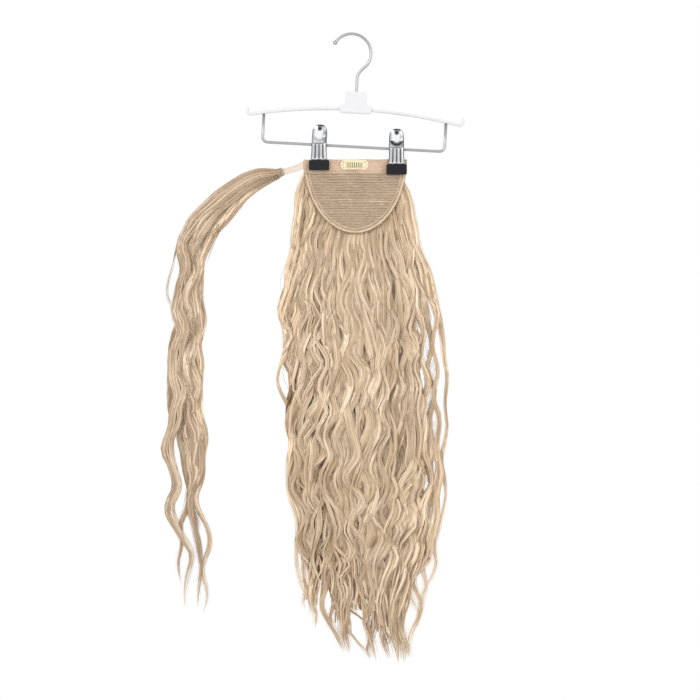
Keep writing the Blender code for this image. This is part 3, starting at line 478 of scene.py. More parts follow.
def sheet_body(name, outer, inner, maps=None):
    """Mesh of a closed body between two grids of one shape. maps holds one value pair a point."""
    index = np.arange(outer[..., 0].size).reshape(outer.shape[:2])
    quads = (index[:-1, :-1], index[:-1, 1:], index[1:, 1:], index[1:, :-1])
    quads = np.stack(quads, axis=-1).reshape(-1, 4)
    rim = np.concatenate([index[0, :-1], index[:-1, -1], index[-1, :0:-1], index[:0:-1, 0]])
    after = np.roll(rim, -1)
    sides = np.stack([after, rim, rim + index.size, after + index.size], axis=-1)
    points = np.concatenate([outer.reshape(-1, 3), inner.reshape(-1, 3)])
    faces = np.concatenate([quads, quads[:, ::-1] + index.size, sides])
    maps = {k: np.concatenate([v.reshape(-1, 2)] * 2) for k, v in (maps or {}).items()}
    return build_mesh(name, points, faces, uvs=maps)


def outward(data):
    """Turns a closed mesh's faces outward."""
    made = bmesh.new()
    made.from_mesh(data)
    bmesh.ops.recalc_face_normals(made, faces=made.faces)
    made.to_mesh(data)
    made.free()


def slab(name, grid, half, lit=None):
    """Mesh of a closed sheet with half its thickness to each side of a middle grid, along Y.

    lit is how much painted light, against painted shade, the relief map gives each point.
    """
    front, back = grid.copy(), grid.copy()
    front[..., 1] -= half
    back[..., 1] += half
    maps = None if lit is None else {"relief": points_of(lit, 0)}
    data = sheet_body(name, front, back, maps)
    outward(data)
    return data


def mesh_of(made, name):
    """Mesh data from a bmesh, which is freed."""
    data = bpy.data.meshes.new(name)
    made.to_mesh(data)
    made.free()
    return data


def shade(data, degrees):
    """Smooth shading, but for edges over an angle."""
    data.shade_smooth()
    data.set_sharp_from_angle(angle=radians(degrees))


def round_edges(obj, width, segments, degrees):
    """Rounds a piece's edges that are over an angle."""
    rounded = obj.modifiers.new("round", "BEVEL")
    rounded.width = width
    rounded.segments = segments
    rounded.limit_method = "ANGLE"
    rounded.angle_limit = radians(degrees)


def add_piece(name, data, look, node=None, body=BODY):
    """Adds a piece that rides a body in its look's material, and hides the CAD node that it stands for.
    """
    material, slot = LOOKS[look]
    obj = bpy.data.objects.new(name, data)
    bpy.context.collection.objects.link(obj)
    data.materials.clear()
    data.materials.append(material)
    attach(obj, body)
    if node:
        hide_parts(node)
    return obj


def add_swept(name, paths, offsets, *place):
    """Adds a piece swept along paths. place holds what add_piece takes after the mesh."""
    return add_piece(name, build_mesh(name, *sweep(paths, offsets)), *place)


# Materials

WHITE = (1.0, 1.0, 1.0)


def shader(name, colour, roughness, metallic=0.0):
    """A Principled material, its node tree and its shader's inputs."""
    made = bpy.data.materials.new(name)
    made.use_nodes = True
    inputs = made.node_tree.nodes["Principled BSDF"].inputs
    inputs["Base Color"].default_value = (*colour, 1.0)
    inputs["Roughness"].default_value = roughness
    inputs["Metallic"].default_value = metallic
    return made, made.node_tree, inputs


def map_outlet(tree, name):
    """Outlet of a UV map's node."""
    place = tree.nodes.new("ShaderNodeUVMap")
    place.uv_map = name
    return place.outputs["UV"]


def map_axis(tree, name, axis):
    """One axis of a UV map."""
    split = tree.nodes.new("ShaderNodeSeparateXYZ")
    tree.links.new(map_outlet(tree, name), split.inputs["Vector"])
    return split.outputs[axis]


def noise(tree, scale, detail=3.0, stretch=(1, 1, 1), map_name=None):
    """A noise texture over object space, or over a UV map, stretched along its axes."""
    if map_name:
        outlet = map_outlet(tree, map_name)
    else:
        outlet = tree.nodes.new("ShaderNodeTexCoord").outputs["Object"]
    mapping = tree.nodes.new("ShaderNodeMapping")
    mapping.inputs["Scale"].default_value = stretch
    tree.links.new(outlet, mapping.inputs["Vector"])
    texture = tree.nodes.new("ShaderNodeTexNoise")
    texture.inputs["Scale"].default_value = scale
    texture.inputs["Detail"].default_value = detail
    tree.links.new(mapping.outputs["Vector"], texture.inputs["Vector"])
    return texture.outputs["Fac"]


def ramp(tree, factor, stops):
    """Colours along a factor, from (place, colour) stops."""
    made = tree.nodes.new("ShaderNodeValToRGB")
    elements = made.color_ramp.elements
    while len(elements) < len(stops):
        elements.new(0.5)
    for element, (place, colour) in zip(elements, stops):
        element.position = place
        element.color = (*colour, 1.0)
    tree.links.new(factor, made.inputs["Fac"])
    return made.outputs["Color"]


def darken(tree, colour, factor, low, dark, high):
    """A colour times a ramp over a factor, from dark at low to white at high."""
    made = tree.nodes.new("ShaderNodeMix")
    made.data_type = "RGBA"
    made.blend_type = "MULTIPLY"
    made.inputs["Factor"].default_value = 1.0
    tree.links.new(colour, made.inputs[6])
    tree.links.new(ramp(tree, factor, [(low, dark), (high, WHITE)]), made.inputs[7])
    return made.outputs[2]


def bump(tree, inputs, height, distance, strength):
    """Bump from a height."""
    made = tree.nodes.new("ShaderNodeBump")
    made.inputs["Distance"].default_value = distance
    made.inputs["Strength"].default_value = strength
    tree.links.new(height, made.inputs["Height"])
    tree.links.new(made.outputs["Normal"], inputs["Normal"])


HAIR_STOPS = [
    (0.36, (0.48, 0.35, 0.235)),
    (0.46, (0.69, 0.525, 0.365)),
    (0.55, (0.84, 0.67, 0.49)),
    (0.66, (0.99, 0.85, 0.67)),
]


def hair_look(name, tint, roughness=0.42):
    """Light sandy blond, streaked from strand to strand and slowly along each one."""
    made, tree, inputs = shader(name, (0.8, 0.63, 0.45), roughness)
    inputs["IOR"].default_value = 1.55
    inputs["Specular IOR Level"].default_value = 0.5
    streaks = noise(tree, 1.0, 4.0, (2.6, 3.0, 1.0), "strand")
    slow = noise(tree, 1.0, 2.0, (0.21, 20.0, 1.0), "strand")
    fine = noise(tree, 1.0, 2.0, (9.0, 5.0, 1.0), "strand")
    stops = [
        (place, tuple(min(0.99, part * c) for part, c in zip(tint, colour)))
        for place, colour in HAIR_STOPS
    ]
    colour = ramp(tree, streaks, stops)
    # Painted shade: darker near each strand's root, over its first 15 cm.
    colour = darken(tree, colour, map_axis(tree, "strand", "Y"), 0.03, (0.91, 0.90, 0.885), 0.15)
    colour = darken(tree, colour, fine, 0.38, (0.80, 0.76, 0.70), 0.50)
    colour = darken(tree, colour, slow, 0.36, (0.82, 0.77, 0.69), 0.60)
    tree.links.new(colour, inputs["Base Color"])
    bump(tree, inputs, streaks, 0.0005, 0.6)
    return made


def relief_look(name, stops, roughness, grain, grain_stretch, depth):
    """Cloth with painted shade in its gaps and painted light on its ridges, as its relief map marks them,
    with a fine grain.
    """
    made, tree, inputs = shader(name, stops[-1][1], roughness)
    inputs["Sheen Weight"].default_value = 0.15
    fleck = noise(tree, grain, 3.0, grain_stretch)
    colour = ramp(tree, map_axis(tree, "relief", "X"), stops)
    colour = darken(tree, colour, fleck, 0.34, (0.80, 0.78, 0.76), 0.62)
    colour = darken(tree, colour, noise(tree, 60.0), 0.35, (0.90, 0.89, 0.88), 0.62)
    tree.links.new(colour, inputs["Base Color"])
    bump(tree, inputs, fleck, depth, 0.7)
    return made


def tape_look(name, dark, light, roughness=0.6):
    """Woven tape or thread with a fine grain."""
    made, tree, inputs = shader(name, light, roughness)
    inputs["Sheen Weight"].default_value = 0.15
    grain = noise(tree, 700.0, 4.0)
    tree.links.new(ramp(tree, grain, [(0.32, dark), (0.66, light)]), inputs["Base Color"])
    bump(tree, inputs, grain, 0.0002, 0.6)
    return made


def metal_look(name, colour, roughness, spread, scale, metallic=1.0, shine=0.5):
    """Metal, paint or rubber whose gloss and tone vary a little."""
    made, tree, inputs = shader(name, colour, roughness, metallic)
    inputs["Specular IOR Level"].default_value = shine
    wear = noise(tree, scale, 4.0)
    darker = tuple(c * (1 - spread) for c in colour)
    tree.links.new(ramp(tree, wear, [(0.3, darker), (0.65, colour)]), inputs["Base Color"])
    levels = tree.nodes.new("ShaderNodeMapRange")
    levels.inputs["To Min"].default_value = max(0.02, roughness * 0.8)
    levels.inputs["To Max"].default_value = roughness * 1.25
    tree.links.new(wear, levels.inputs["Value"])
    tree.links.new(levels.outputs["Result"], inputs["Roughness"])
    return made


# The chrome's base colour over the groove map: near white at 0, painted dark reflection and shade towards
# 1.
CHROME_SHADE_STOPS = [
    (0.0, (0.97, 0.97, 0.98)),
    (0.35, (0.42, 0.43, 0.445)),
    (0.7, (0.13, 0.135, 0.145)),
    (1.0, (0.02, 0.02, 0.025)),
]


def chrome_look():
    """Polished steel, near white where the groove map is low, with painted dark reflection and shade
    where it is high.
    """
    made, tree, inputs = shader("bright_steel", (0.78, 0.79, 0.8), 0.14, 1.0)
    colour = ramp(tree, map_axis(tree, "groove", "X"), CHROME_SHADE_STOPS)
    tree.links.new(colour, inputs["Base Color"])
    return made


# Cloth colours over the relief map: painted shade at 0, up to the cloth's lit colour at 1.
SATIN_STOPS = [(0.0, (0.36, 0.245, 0.165)), (0.6, (0.50, 0.36, 0.25)), (1.0, (0.54, 0.39, 0.275))]
TAPE_STOPS = [(0.0, (0.20, 0.14, 0.09)), (0.45, (0.42, 0.31, 0.21)), (1.0, (0.64, 0.49, 0.345))]
NET_STOPS = [
    (0.0, (0.25, 0.18, 0.12)),
    (0.45, (0.34, 0.255, 0.175)),
    (0.8, (0.42, 0.325, 0.23)),
    (1.0, (0.56, 0.44, 0.32)),
]


def make_looks():
    """Materials under the record slots that they stand for, as (material, slot) pairs by look."""
    slots = {
        # Copies of one blond. The pale copy is painted light for the side locks and flyaways, lifting
        # their shade; the inner copy is darker and warmer, painting the shade deep in the gaps warm
        # brown; the sheet and wrap copies are darker.
        "blond_hair": {
            "hair": hair_look("blond_hair", (0.94, 0.935, 0.925)),
            "painted_light_hair": hair_look("blond_hair_painted_light", (1.08, 1.08, 1.08)),
            "sheet_hair": hair_look("blond_hair_sheets", (0.865, 0.86, 0.85), 0.52),
            "inner_hair": hair_look("blond_hair_inner", (0.91, 0.875, 0.84)),
            "wrap_hair": hair_look("blond_hair_wrap", (0.785, 0.77, 0.76)),
            "cuff": tape_look("cuff_thread", (0.30, 0.225, 0.15), (0.43, 0.335, 0.235)),
        },
        "beige_satin": {
            "satin": relief_look("beige_satin", SATIN_STOPS, 0.5, 1500.0, (0.15, 1.0, 1.0), 0.0001),
        },
        "beige_net": {
            "net": relief_look("beige_net", NET_STOPS, 0.85, 1100.0, (0.35, 1.0, 1.0), 0.0003),
        },
        "beige_tape": {
            "tape": relief_look("beige_tape", TAPE_STOPS, 0.75, 1000.0, (1, 1, 1), 0.0002),
            "thread": tape_look("sewing_thread", (0.62, 0.47, 0.33), (0.82, 0.66, 0.49)),
        },
        "sheer_tape": {
            "sheer": tape_look("sheer_tape", (0.53, 0.44, 0.36), (0.64, 0.55, 0.46)),
        },
        "cream_metal": {
            "cream": metal_look("cream_metal", (0.80, 0.70, 0.47), 0.32, 0.10, 500.0, 0.30),
            "grip": tape_look("comb_grip", (0.22, 0.215, 0.15), (0.34, 0.33, 0.24), 0.5),
        },
        "satin_steel": {
            "steel": metal_look("satin_steel", (0.40, 0.40, 0.41), 0.36, 0.06, 900.0),
            "spring": metal_look("spring_steel", (0.45, 0.45, 0.46), 0.25, 0.1, 900.0),
        },
        "bright_steel": {"chrome": chrome_look()},
        "white_paint": {
            "white": metal_look("white_paint", (0.60, 0.60, 0.61), 0.35, 0.02, 200.0, 0.0),
        },
        "black_rubber": {
            "rubber": metal_look("black_rubber", (0.008, 0.008, 0.011), 0.5, 0.3, 500.0, 0.0, 0.2),
        },
    }
    return {key: (made, slot) for slot, group in slots.items() for key, made in group.items()}


# Hanger


def tilt(points):
    """Points of the hanger's own upright frame, as it hangs askew about its hook."""
    x, y, z = np.moveaxis(np.asarray(points, dtype=float), -1, 0)
    c, s = cos(HANGER_TILT), sin(HANGER_TILT)
    return points_of(x * c + z * s, y, z * c - x * s)


def add_wire(name, line, radii, sides, look, node):
    """Adds one round wire of the hanger, along a line of its upright frame."""
    add_swept(name, tilt(line)[None], round_offsets(radii, sides), look, node)


def bar_height(offset):
    """Height of the bar's centre line at an offset from the hanger's middle."""
    bend = (BAR_HALF_SPAN**2 + BAR_DROP**2) / (2 * BAR_DROP)
    return BAR_CROWN_Z - bend + np.sqrt(bend**2 - np.square(offset))


def build_hook():
    """Wire hook with a round bead at its tip."""
    centre_z, bead = HOOK_WIRE - HOOK_RADIUS, 0.0026
    angles = np.radians(np.linspace(157, -38, 80))
    arc = points_of(HOOK_RADIUS * np.cos(angles), 0, centre_z + HOOK_RADIUS * np.sin(angles))
    bend = np.array([HANGER_CENTRE_X, 0, -0.0425])
    turn = bent(arc[-1], bend, bend + (0, 0, -0.006), np.linspace(0, 1, 16)[1:, None])
    end = np.array([[HANGER_CENTRE_X, 0, PLATE_TOP_Z - 0.004]])
    line = resample(np.concatenate([arc, turn, end]), 150)
    for _ in range(4):
        line[1:-1] = (line[:-2] + 2 * line[1:-1] + line[2:]) / 4
    run = run_along(line)
    fine_run = np.sort(np.concatenate([run, np.linspace(0, 2 * bead, 14)[1:-1]]))
    ball = np.sqrt(np.clip(1 - ((fine_run - bead) / bead) ** 2, 0.01, 1)) * bead
    radii = np.where(fine_run < 1.7 * bead, ball, HOOK_WIRE)
    add_wire("hook_wire", points_at(line, run, fine_run), radii, 20, "steel", "hanger_hook")


def build_bar():
    """Bowed bar whose ends turn up."""
    offsets = np.linspace(-BAR_HALF_SPAN, BAR_HALF_SPAN, 90)
    middle = points_of(HANGER_CENTRE_X + offsets, 0, bar_height(offsets))
    corner, z = 0.0040, bar_height(BAR_HALF_SPAN)
    angles = np.linspace(0, pi / 2, 9)[1:]
    ends = []
    for side in (-1, 1):
        x = HANGER_CENTRE_X + side * BAR_HALF_SPAN
        turn = points_of(x + side * corner * np.sin(angles), 0, z + corner * (1 - np.cos(angles)))
        tip = points_of(x + side * corner, 0, [z + 0.0062, z + 0.0080])
        ends.append(np.concatenate([turn, tip]))
    line = np.concatenate([ends[0][::-1], middle, ends[1]])
    radii = np.full(len(line), BAR_RADIUS)
    radii[[0, -1]] = BAR_RADIUS * 0.6
    add_wire("bar_tube", line, radii, 18, "white", "hanger_bar")


def build_rail():
    """Wire rail under the bar, with round corners."""
    top = float(bar_height(RAIL_HALF_SPAN)) - BAR_RADIUS + 0.0004
    left, right = HANGER_CENTRE_X - RAIL_HALF_SPAN, HANGER_CENTRE_X + RAIL_HALF_SPAN
    corner = 0.0060
    low = RAIL_Z + corner
    line = [points_of(left, 0, [top, low + 0.002])]
    for centre_x, start in ((left + corner, pi), (right - corner, 1.5 * pi)):
        angles = start + np.linspace(0, pi / 2, 12)
        line.append(points_of(centre_x + corner * np.cos(angles), 0, low + corner * np.sin(angles)))
    line.append(points_of(right, 0, [low + 0.002, top]))
    add_wire("rail_wire", np.concatenate(line), RAIL_RADIUS, 16, "steel", "hanger_rail")


def build_plate():
    """Bare plate with soft corners, its foot wrapped round the bar."""
    half, foot, thick = 0.0125, 0.0185, 0.0080
    shoulder, low = BAR_CROWN_Z + 0.00475, BAR_CROWN_Z - 0.00475
    outline = [
        (-half + 0.002, PLATE_TOP_Z),
        (-half, PLATE_TOP_Z - 0.002),
        (-half, shoulder + 0.002),
        (-half - 0.002, shoulder),
        (-foot + 0.001, shoulder - 0.001),
        (-foot, shoulder - 0.002),
        (-foot, low + 0.0022),
        (-foot + 0.0022, low),
    ]
    outline += [(-x, z) for x, z in outline[::-1]]
    made = bmesh.new()
    front, back = (
        [made.verts.new((HANGER_CENTRE_X + x, y, z)) for x, z in outline]
        for y in (-thick / 2, thick / 2)
    )
    made.faces.new(front)
    made.faces.new(back[::-1])
    for i in range(len(outline)):
        j = (i + 1) % len(outline)
        made.faces.new((front[j], front[i], back[i], back[j]))
    turn = Matrix.Rotation(HANGER_TILT, 4, "Y")
    bmesh.ops.transform(made, matrix=turn, verts=made.verts)
    bmesh.ops.recalc_face_normals(made, faces=made.faces)
    data = mesh_of(made, "plate")
    plate = add_piece("plate_body", data, "white", "hanger_plate")
    round_edges(plate, 0.0010, 4, 25)
    shade(data, 35)


# Clips

# Down each jaw: z, half width, stand-off, crown, and how much of a flute there is.
JAW_ROWS = [
    (0.0222, 0.0010, 0.0109, 0.0000, 0.0),
    (0.0219, 0.0032, 0.0108, 0.0003, 0.0),
    (0.0210, 0.0052, 0.0106, 0.0008, 0.0),
    (0.0195, 0.0068, 0.0102, 0.0013, 0.0),
    (0.0174, 0.0078, 0.0097, 0.0018, 0.0),
    (0.0145, 0.0082, 0.0090, 0.0022, 0.0),
    (0.0080, 0.0082, 0.0078, 0.0025, 0.0),
    (0.0030, 0.0083, 0.0067, 0.0025, 0.0),
    (0.0008, 0.0083, 0.0063, 0.0018, 0.3),
    (-0.0010, 0.0083, 0.0060, 0.0013, 1.0),
    (-0.0080, 0.0085, 0.0048, 0.0011, 1.0),
    (-0.0140, 0.0090, 0.0038, 0.0007, 1.0),
    (-0.0164, 0.0095, 0.0034, 0.0003, 0.5),
    (-0.0178, 0.0096, 0.0032, 0.0, 0.0),
    (-0.0255, 0.0096, 0.0032, 0.0, 0.0),
]
JAW_TOP, JAW_BEND_Z, JAW_FOOT = 0.0222, 0.0140, -0.0255
JAW_HOLE_Z, JAW_HOLE_RADIUS = 0.0178, 0.0013
JAW_HALF_SHEET = 0.00045


def jaw_surface(lip_shade):
    """Grid of the jaw's middle surface, and how much painted dark reflection and shade each point takes.

    Its argument is how strongly painted shade darkens the dish below the hole along its lower lip.
    """
    z = [np.linspace(JAW_TOP, JAW_BEND_Z, 24)[:-1], np.linspace(JAW_BEND_Z, JAW_FOOT, 50)]
    z = np.concatenate(z)[:, None]
    rows = np.array(JAW_ROWS)
    half, stand, crown, flute = (np.interp(-z, -rows[:, 0], column) for column in rows.T[1:])
    share = np.linspace(-1, 1, 37)
    ridge = 0.5 - 0.5 * np.cos(4 * pi * (share + 1))
    x = half * share
    dish = 0.0007 * bell(z, 0.0115, 0.0035) * bell(x, 0, 0.0042)
    y = stand + crown * (1 - share**2) + 0.0008 * flute * ridge - dish
    # Painted dark reflection towards the jaw's sides, with a bright middle a little left of centre.
    side = 0.02 + 0.62 * np.clip((np.abs(share + 0.12) - 0.46) / 0.5, 0, 1)
    bowl = np.hypot(x, z - 0.0105)
    # Painted dark reflection and shade, from 0 to 1: down the flutes' grooves, along the step where the
    # dome meets the flutes, on the sides, in a streak on the right, at the side rims, over the top, in a
    # ring round the hole and along the lip below the dish.
    marks = (
        flute * (0.22 + 0.78 * (1 - ridge) ** 2.6),
        0.70 * bell(z, 0.0012, 0.0009) * (1 - 0.6 * share**2),
        side * (1 - flute),
        0.55 * bell(z, 0.0060, 0.0022) * bell(share, 0.52, 0.20),
        0.85 * np.clip((np.abs(share) - 0.84) / 0.16, 0, 1),
        0.90 * np.clip((z - 0.0186) / 0.0026, 0, 1),
        0.85 * bell(np.hypot(x, z - JAW_HOLE_Z), 0.0016, 0.0009),
        lip_shade * bell(bowl, 0.0062, 0.0022) * (z < 0.0085),
    )
    dark = np.maximum.reduce(np.broadcast_arrays(*marks))
    return points_of(x, -y, z), np.clip(dark, 0, 1)


def jaw_data(lip_shade):
    """Mesh of one jaw, with a flat foot for its pad and a round hole near its top."""
    middle, dark = jaw_surface(lip_shade)
    normal = unit(np.cross(np.gradient(middle, axis=0), np.gradient(middle, axis=1)))
    normal[middle[..., 2] < -0.0176] = (0, np.sign(normal[0, 18, 1]), 0)
    normal *= JAW_HALF_SHEET
    # The groove map carries the painted dark reflection and shade of jaw_surface to the chrome.
    data = sheet_body("jaw", middle + normal, middle - normal, {"groove": points_of(dark, 0)})
    made = bmesh.new()
    made.from_mesh(data)
    hole, level = Vector((0, 0, JAW_HOLE_Z)), Vector((1, 0, 1))
    near = 0.85 * JAW_HOLE_RADIUS
    inside = [vert for vert in made.verts if ((vert.co - hole) * level).length < near]
    bmesh.ops.delete(made, geom=inside, context="VERTS")
    rim = [edge for edge in made.edges if edge.is_boundary]
    for vert in {vert for edge in rim for vert in edge.verts}:
        out = (vert.co - hole) * level
        vert.co += out * (JAW_HOLE_RADIUS / out.length - 1)
    bmesh.ops.bridge_loops(made, edges=rim)
    bmesh.ops.recalc_face_normals(made, faces=made.faces)
    made.to_mesh(data)
    made.free()
    return data


def placed(data, matrix):
    """Copy of mesh data, moved by a matrix."""
    copy = data.copy()
    copy.transform(matrix)
    return copy


def pad_data():
    """Rubber pad: a block with a sunk middle, and lips that swell a little."""
    width, height, thick = 0.0234, 0.0112, 0.0044
    y = -(BAND_THICKNESS / 2 + 0.0003 + thick / 2)
    z = -0.0178 - height / 2
    made = bmesh.new()
    bmesh.ops.create_cube(made, size=1.0)
    bmesh.ops.subdivide_edges(made, edges=made.edges, cuts=5, use_grid_fill=True)
    for vert in made.verts:
        u, v, w = 2 * vert.co
        swell = 1 + 0.02 * (1 - u * u) - 0.012 * w
        lip = -0.0003 * (1 - u * u) * (w < -0.6) + 0.0002 * cos(3 * pi * u) * (w > 0.6)
        sunk = 1 - 0.10 * (1 - u**4) * (1 - w * w)
        vert.co = (u * width / 2, y + v * thick / 2 * sunk, z + w * height / 2 * swell + lip)
    bmesh.ops.recalc_face_normals(made, faces=made.faces)
    return mesh_of(made, "pad")


def spring_data():
    """Coil spring round the rail."""
    turns, wire, radius, width, sides = 9, 0.00055, 0.0042, 0.0118, 8
    t = np.linspace(0, 1, turns * 20 + 1)
    angle = 2 * pi * turns * t
    coil = points_of((t - 0.5) * width, radius * np.cos(angle), radius * np.sin(angle))
    out = coil * (0, 1, 1) / radius
    side = np.cross(unit(np.gradient(coil, axis=0)), out)
    ring = wire * ring_of(sides)[..., None]
    points = coil[:, None] + ring[:, 0] * out[:, None] + ring[:, 1] * side[:, None]
    index = np.arange(len(t) * sides).reshape(-1, sides)
    after = np.roll(index, -1, 1)
    faces = np.stack([index[:-1], after[:-1], after[1:], index[1:]], axis=-1)
    fan = np.array([[0, k, k + 1] for k in range(1, sides - 1)])
    caps = np.concatenate([fan, fan[:, ::-1] + index[-1, 0]])
    data = build_mesh("spring", points, faces, caps)
    outward(data)
    return data


def pivot_data():
    """Tube with an end plate at each side, in place of the jaws' folded ears."""
    half, plate = 0.0075, (0.0009, 0.0056)
    made = bmesh.new()
    for x, (length, radius) in ((0, (2 * half, 0.0029)), (-half, plate), (half, plate)):
        sizes = dict(radius1=radius, radius2=radius, depth=length)
        verts = bmesh.ops.create_cone(made, cap_ends=True, segments=36, **sizes)["verts"]
        bmesh.ops.rotate(made, cent=(0, 0, 0), matrix=Matrix.Rotation(pi / 2, 3, "Y"), verts=verts)
        bmesh.ops.translate(made, vec=(x, 0, 0), verts=verts)
    data = mesh_of(made, "pivot")
    shade(data, 40)
    return data


def build_clips():
    """Two spring clips on the rail, each with two jaws and two rubber pads."""
    pad, spring, pivot = pad_data(), spring_data(), pivot_data()
    for side, offset, lip_shade, lean in CLIPS:
        jaw = jaw_data(lip_shade)
        place = Matrix.Translation(Vector(tilt((HANGER_CENTRE_X + offset, 0, RAIL_Z))))
        for face, turn in (("front", 0.0), ("back", pi)):
            name = f"clip_{side}_{face}"
            spin = Matrix.Rotation(turn, 4, "Z")
            sheet = placed(jaw, spin)
            for vert in sheet.vertices:
                vert.co.x += lean * max(0, vert.co.z / JAW_TOP)
            sheet.transform(place)
            shade(sheet, 50)
            add_piece(name + "_shell", sheet, "chrome", name + "_jaw")
            cover = placed(pad, place @ spin)
            block = add_piece(name + "_rubber", cover, "rubber", name + "_pad")
            round_edges(block, 0.0007, 3, 50)
            cover.shade_smooth()
        askew = place @ Matrix.Rotation(HANGER_TILT, 4, "Y")
        for label, data in (("spring", spring), ("pivot", pivot)):
            node = f"clip_{side}_barrel"
            add_piece(f"clip_{side}_{label}", placed(data, askew), "spring", node)


# Cap


def cap_cup(x, z):
    """How far the net is pushed back from the band's plane, as in the CAD."""
    below = (CAP_TOP_Z - BAND_HEIGHT - z) / (CAP_DEPTH - BAND_HEIGHT)
    across = (x - CAP_X) / CAP_HALF_WIDTH
    cup = CAP_CUP * np.sin(pi * np.clip(below, 0, 1)) * (1 - across**2)
    return np.where((below > 0) & (below < 1), cup, 0.0)


def build_band():
    """Satin band with a fold along its edges, and soft puckers."""
    columns, rows = 150, 26
    x = np.linspace(-CAP_HALF_WIDTH, CAP_HALF_WIDTH, columns)
    drop = np.linspace(0, BAND_HEIGHT, rows)[:, None]
    pucker = smooth_noise((rows, columns), (6, 7))
    hem = bell(drop, 0.0135, 0.0008)
    end_tape = np.clip((np.abs(x) - CAP_HALF_WIDTH + 0.0042) / 0.0006, 0, 1)
    half = 0.00080 + 0.00045 * end_tape - 0.00022 * hem
    half = half + 0.00035 * bell(drop, 0, 0.0012) + 0.00012 * pucker
    rim = np.minimum(drop, BAND_HEIGHT - drop) / 0.0006
    half = np.clip(half, 0.0004, 0.00125) * np.sqrt(np.clip(0.35 + rim, 0, 1))
    wave = 0.00018 * smooth_noise((1, columns), (0, 8))
    z = CAP_TOP_Z - drop + 0.00015 * smooth_noise((1, columns), (0, 6)) * (drop < 0.001)
    # Painted shade on the satin: darker along the hem fold and at its edges, lighter where the puckers
    # swell and darker where they sink, and a darker line at the edge of each end's tape.
    tape_edge = (end_tape > 0.22) & (end_tape < 0.89)
    lit = 1 - 0.55 * hem - 0.5 * np.clip(1 - rim, 0, 1) + 0.15 * pucker
    data = slab("band", points_of(CAP_X + x, wave, z), half, np.clip(lit - 0.35 * tape_edge, 0, 1))
    band = add_piece("band_satin", data, "satin", "top_band")


def build_panel():
    """Rows of weft sewn on net, a little uneven, with one lighter seam across."""
    inset = BINDING_WIDTH - 0.0012
    half_width, depth = CAP_HALF_WIDTH - inset, CAP_DEPTH - inset
    top = BAND_HEIGHT - 0.0002
    rows, columns = 116, 92
    drop = (top + (depth - 0.0004 - top) * np.linspace(0, 1, rows))[:, None]
    share = np.linspace(-1, 1, columns)
    x = CAP_X + half_width * np.sqrt(1 - (drop / depth) ** 2) * share
    z = CAP_TOP_Z - drop
    sag = 0.00022 * smooth_noise((rows, columns), (12, 20))
    weft = np.abs(np.cos(pi * (drop - top + sag) / RIB_PITCH)) ** 0.8
    lumps = smooth_noise((rows, columns), (1, 2))
    seam = bell(drop - 0.0022 * share + sag, 0.0470, 0.0006)
    seam = seam * np.clip(0.5 + 0.5 * share, 0.1, 0.85)
    half = PANEL_THICKNESS / 2 - 0.0002 + 0.00042 * weft + 0.00011 * lumps + 0.00025 * seam
    # Painted shade between the weft rows, painted light on their crests and lumps, and a lighter thread
    # along the seam.
    lit = np.clip(0.08 + 0.68 * weft + 0.09 * lumps + 0.9 * seam, 0, 1)
    data = slab("panel", points_of(x, cap_cup(x, z), z), half, lit)
    panel = add_piece("net_wefts", data, "net", "net_panel")


def binding_grid(count, insets):
    """Points across the binding at each station, from its inner edge to its outer one."""
    at = np.linspace(-1, 1, count)[:, None]
    half_width, depth = CAP_HALF_WIDTH - insets, CAP_DEPTH - insets
    start = np.arcsin((BAND_HEIGHT + 0.0001) / depth)
    angle = start + (pi / 2 - start) * (1 - np.abs(at))
    x = CAP_X + np.sign(at + 1e-9) * half_width * np.cos(angle)
    z = CAP_TOP_Z - depth * np.sin(angle)
    return points_of(x, cap_cup(x, z), z)


def build_binding():
    """Folded tape with two rolled ridges and a row of stitches in the groove between them."""
    count, across, base = 190, 15, 0.00075
    share = np.linspace(0, 1, across)
    grid = binding_grid(count, TAPE_WIDTH * (1 - share))
    ridge = base + base * np.clip(np.abs(np.sin(2 * pi * share)) ** 0.7, 0, 1)
    ridge = ridge * np.where(share > 0.5, 1.0, 0.82)
    rim = np.sqrt(np.clip(np.minimum(share, 1 - share) / 0.10, 0.12, 1))
    lumps = smooth_noise((count, across), (3, 2))
    # Painted light on the two ridges, and painted shade in the groove between them and along both edges.
    lit = np.clip((ridge - base) / base * rim, 0, 1) + 0.08 * lumps
    data = slab("binding", grid, ridge * rim + 0.00009 * lumps, np.clip(lit, 0, 1))
    tape = add_piece("binding_tape", data, "tape", "edge_binding")
    middle = grid[:, across // 2]
    build_stitches(resample(middle[3:-3], 76))


def build_stitches(line):
    """A row of short thread stitches along the binding's groove."""
    radius, fill, lift = 0.00022, 0.62, 0.00095
    step = np.diff(line, axis=0)[:, None]
    t = np.linspace(0, 1, 5)
    paths = line[:-1, None] + step * (0.5 + fill * (t - 0.5))[:, None]
    paths[..., 1] -= lift + 0.00012 * np.sin(pi * t)
    radii = radius * np.array([0.45, 0.9, 1.0, 0.9, 0.45])
    add_swept("binding_stitches", paths, round_offsets(radii, 6), "thread")


# Snap comb


def arc_points(x, z, radius, start, step, count):
    """Points (x, z) along an arc, from a start angle by a step."""
    angles = [start + step * i for i in range(count)]
    return [(x + radius * cos(a), z + radius * sin(a)) for a in angles]


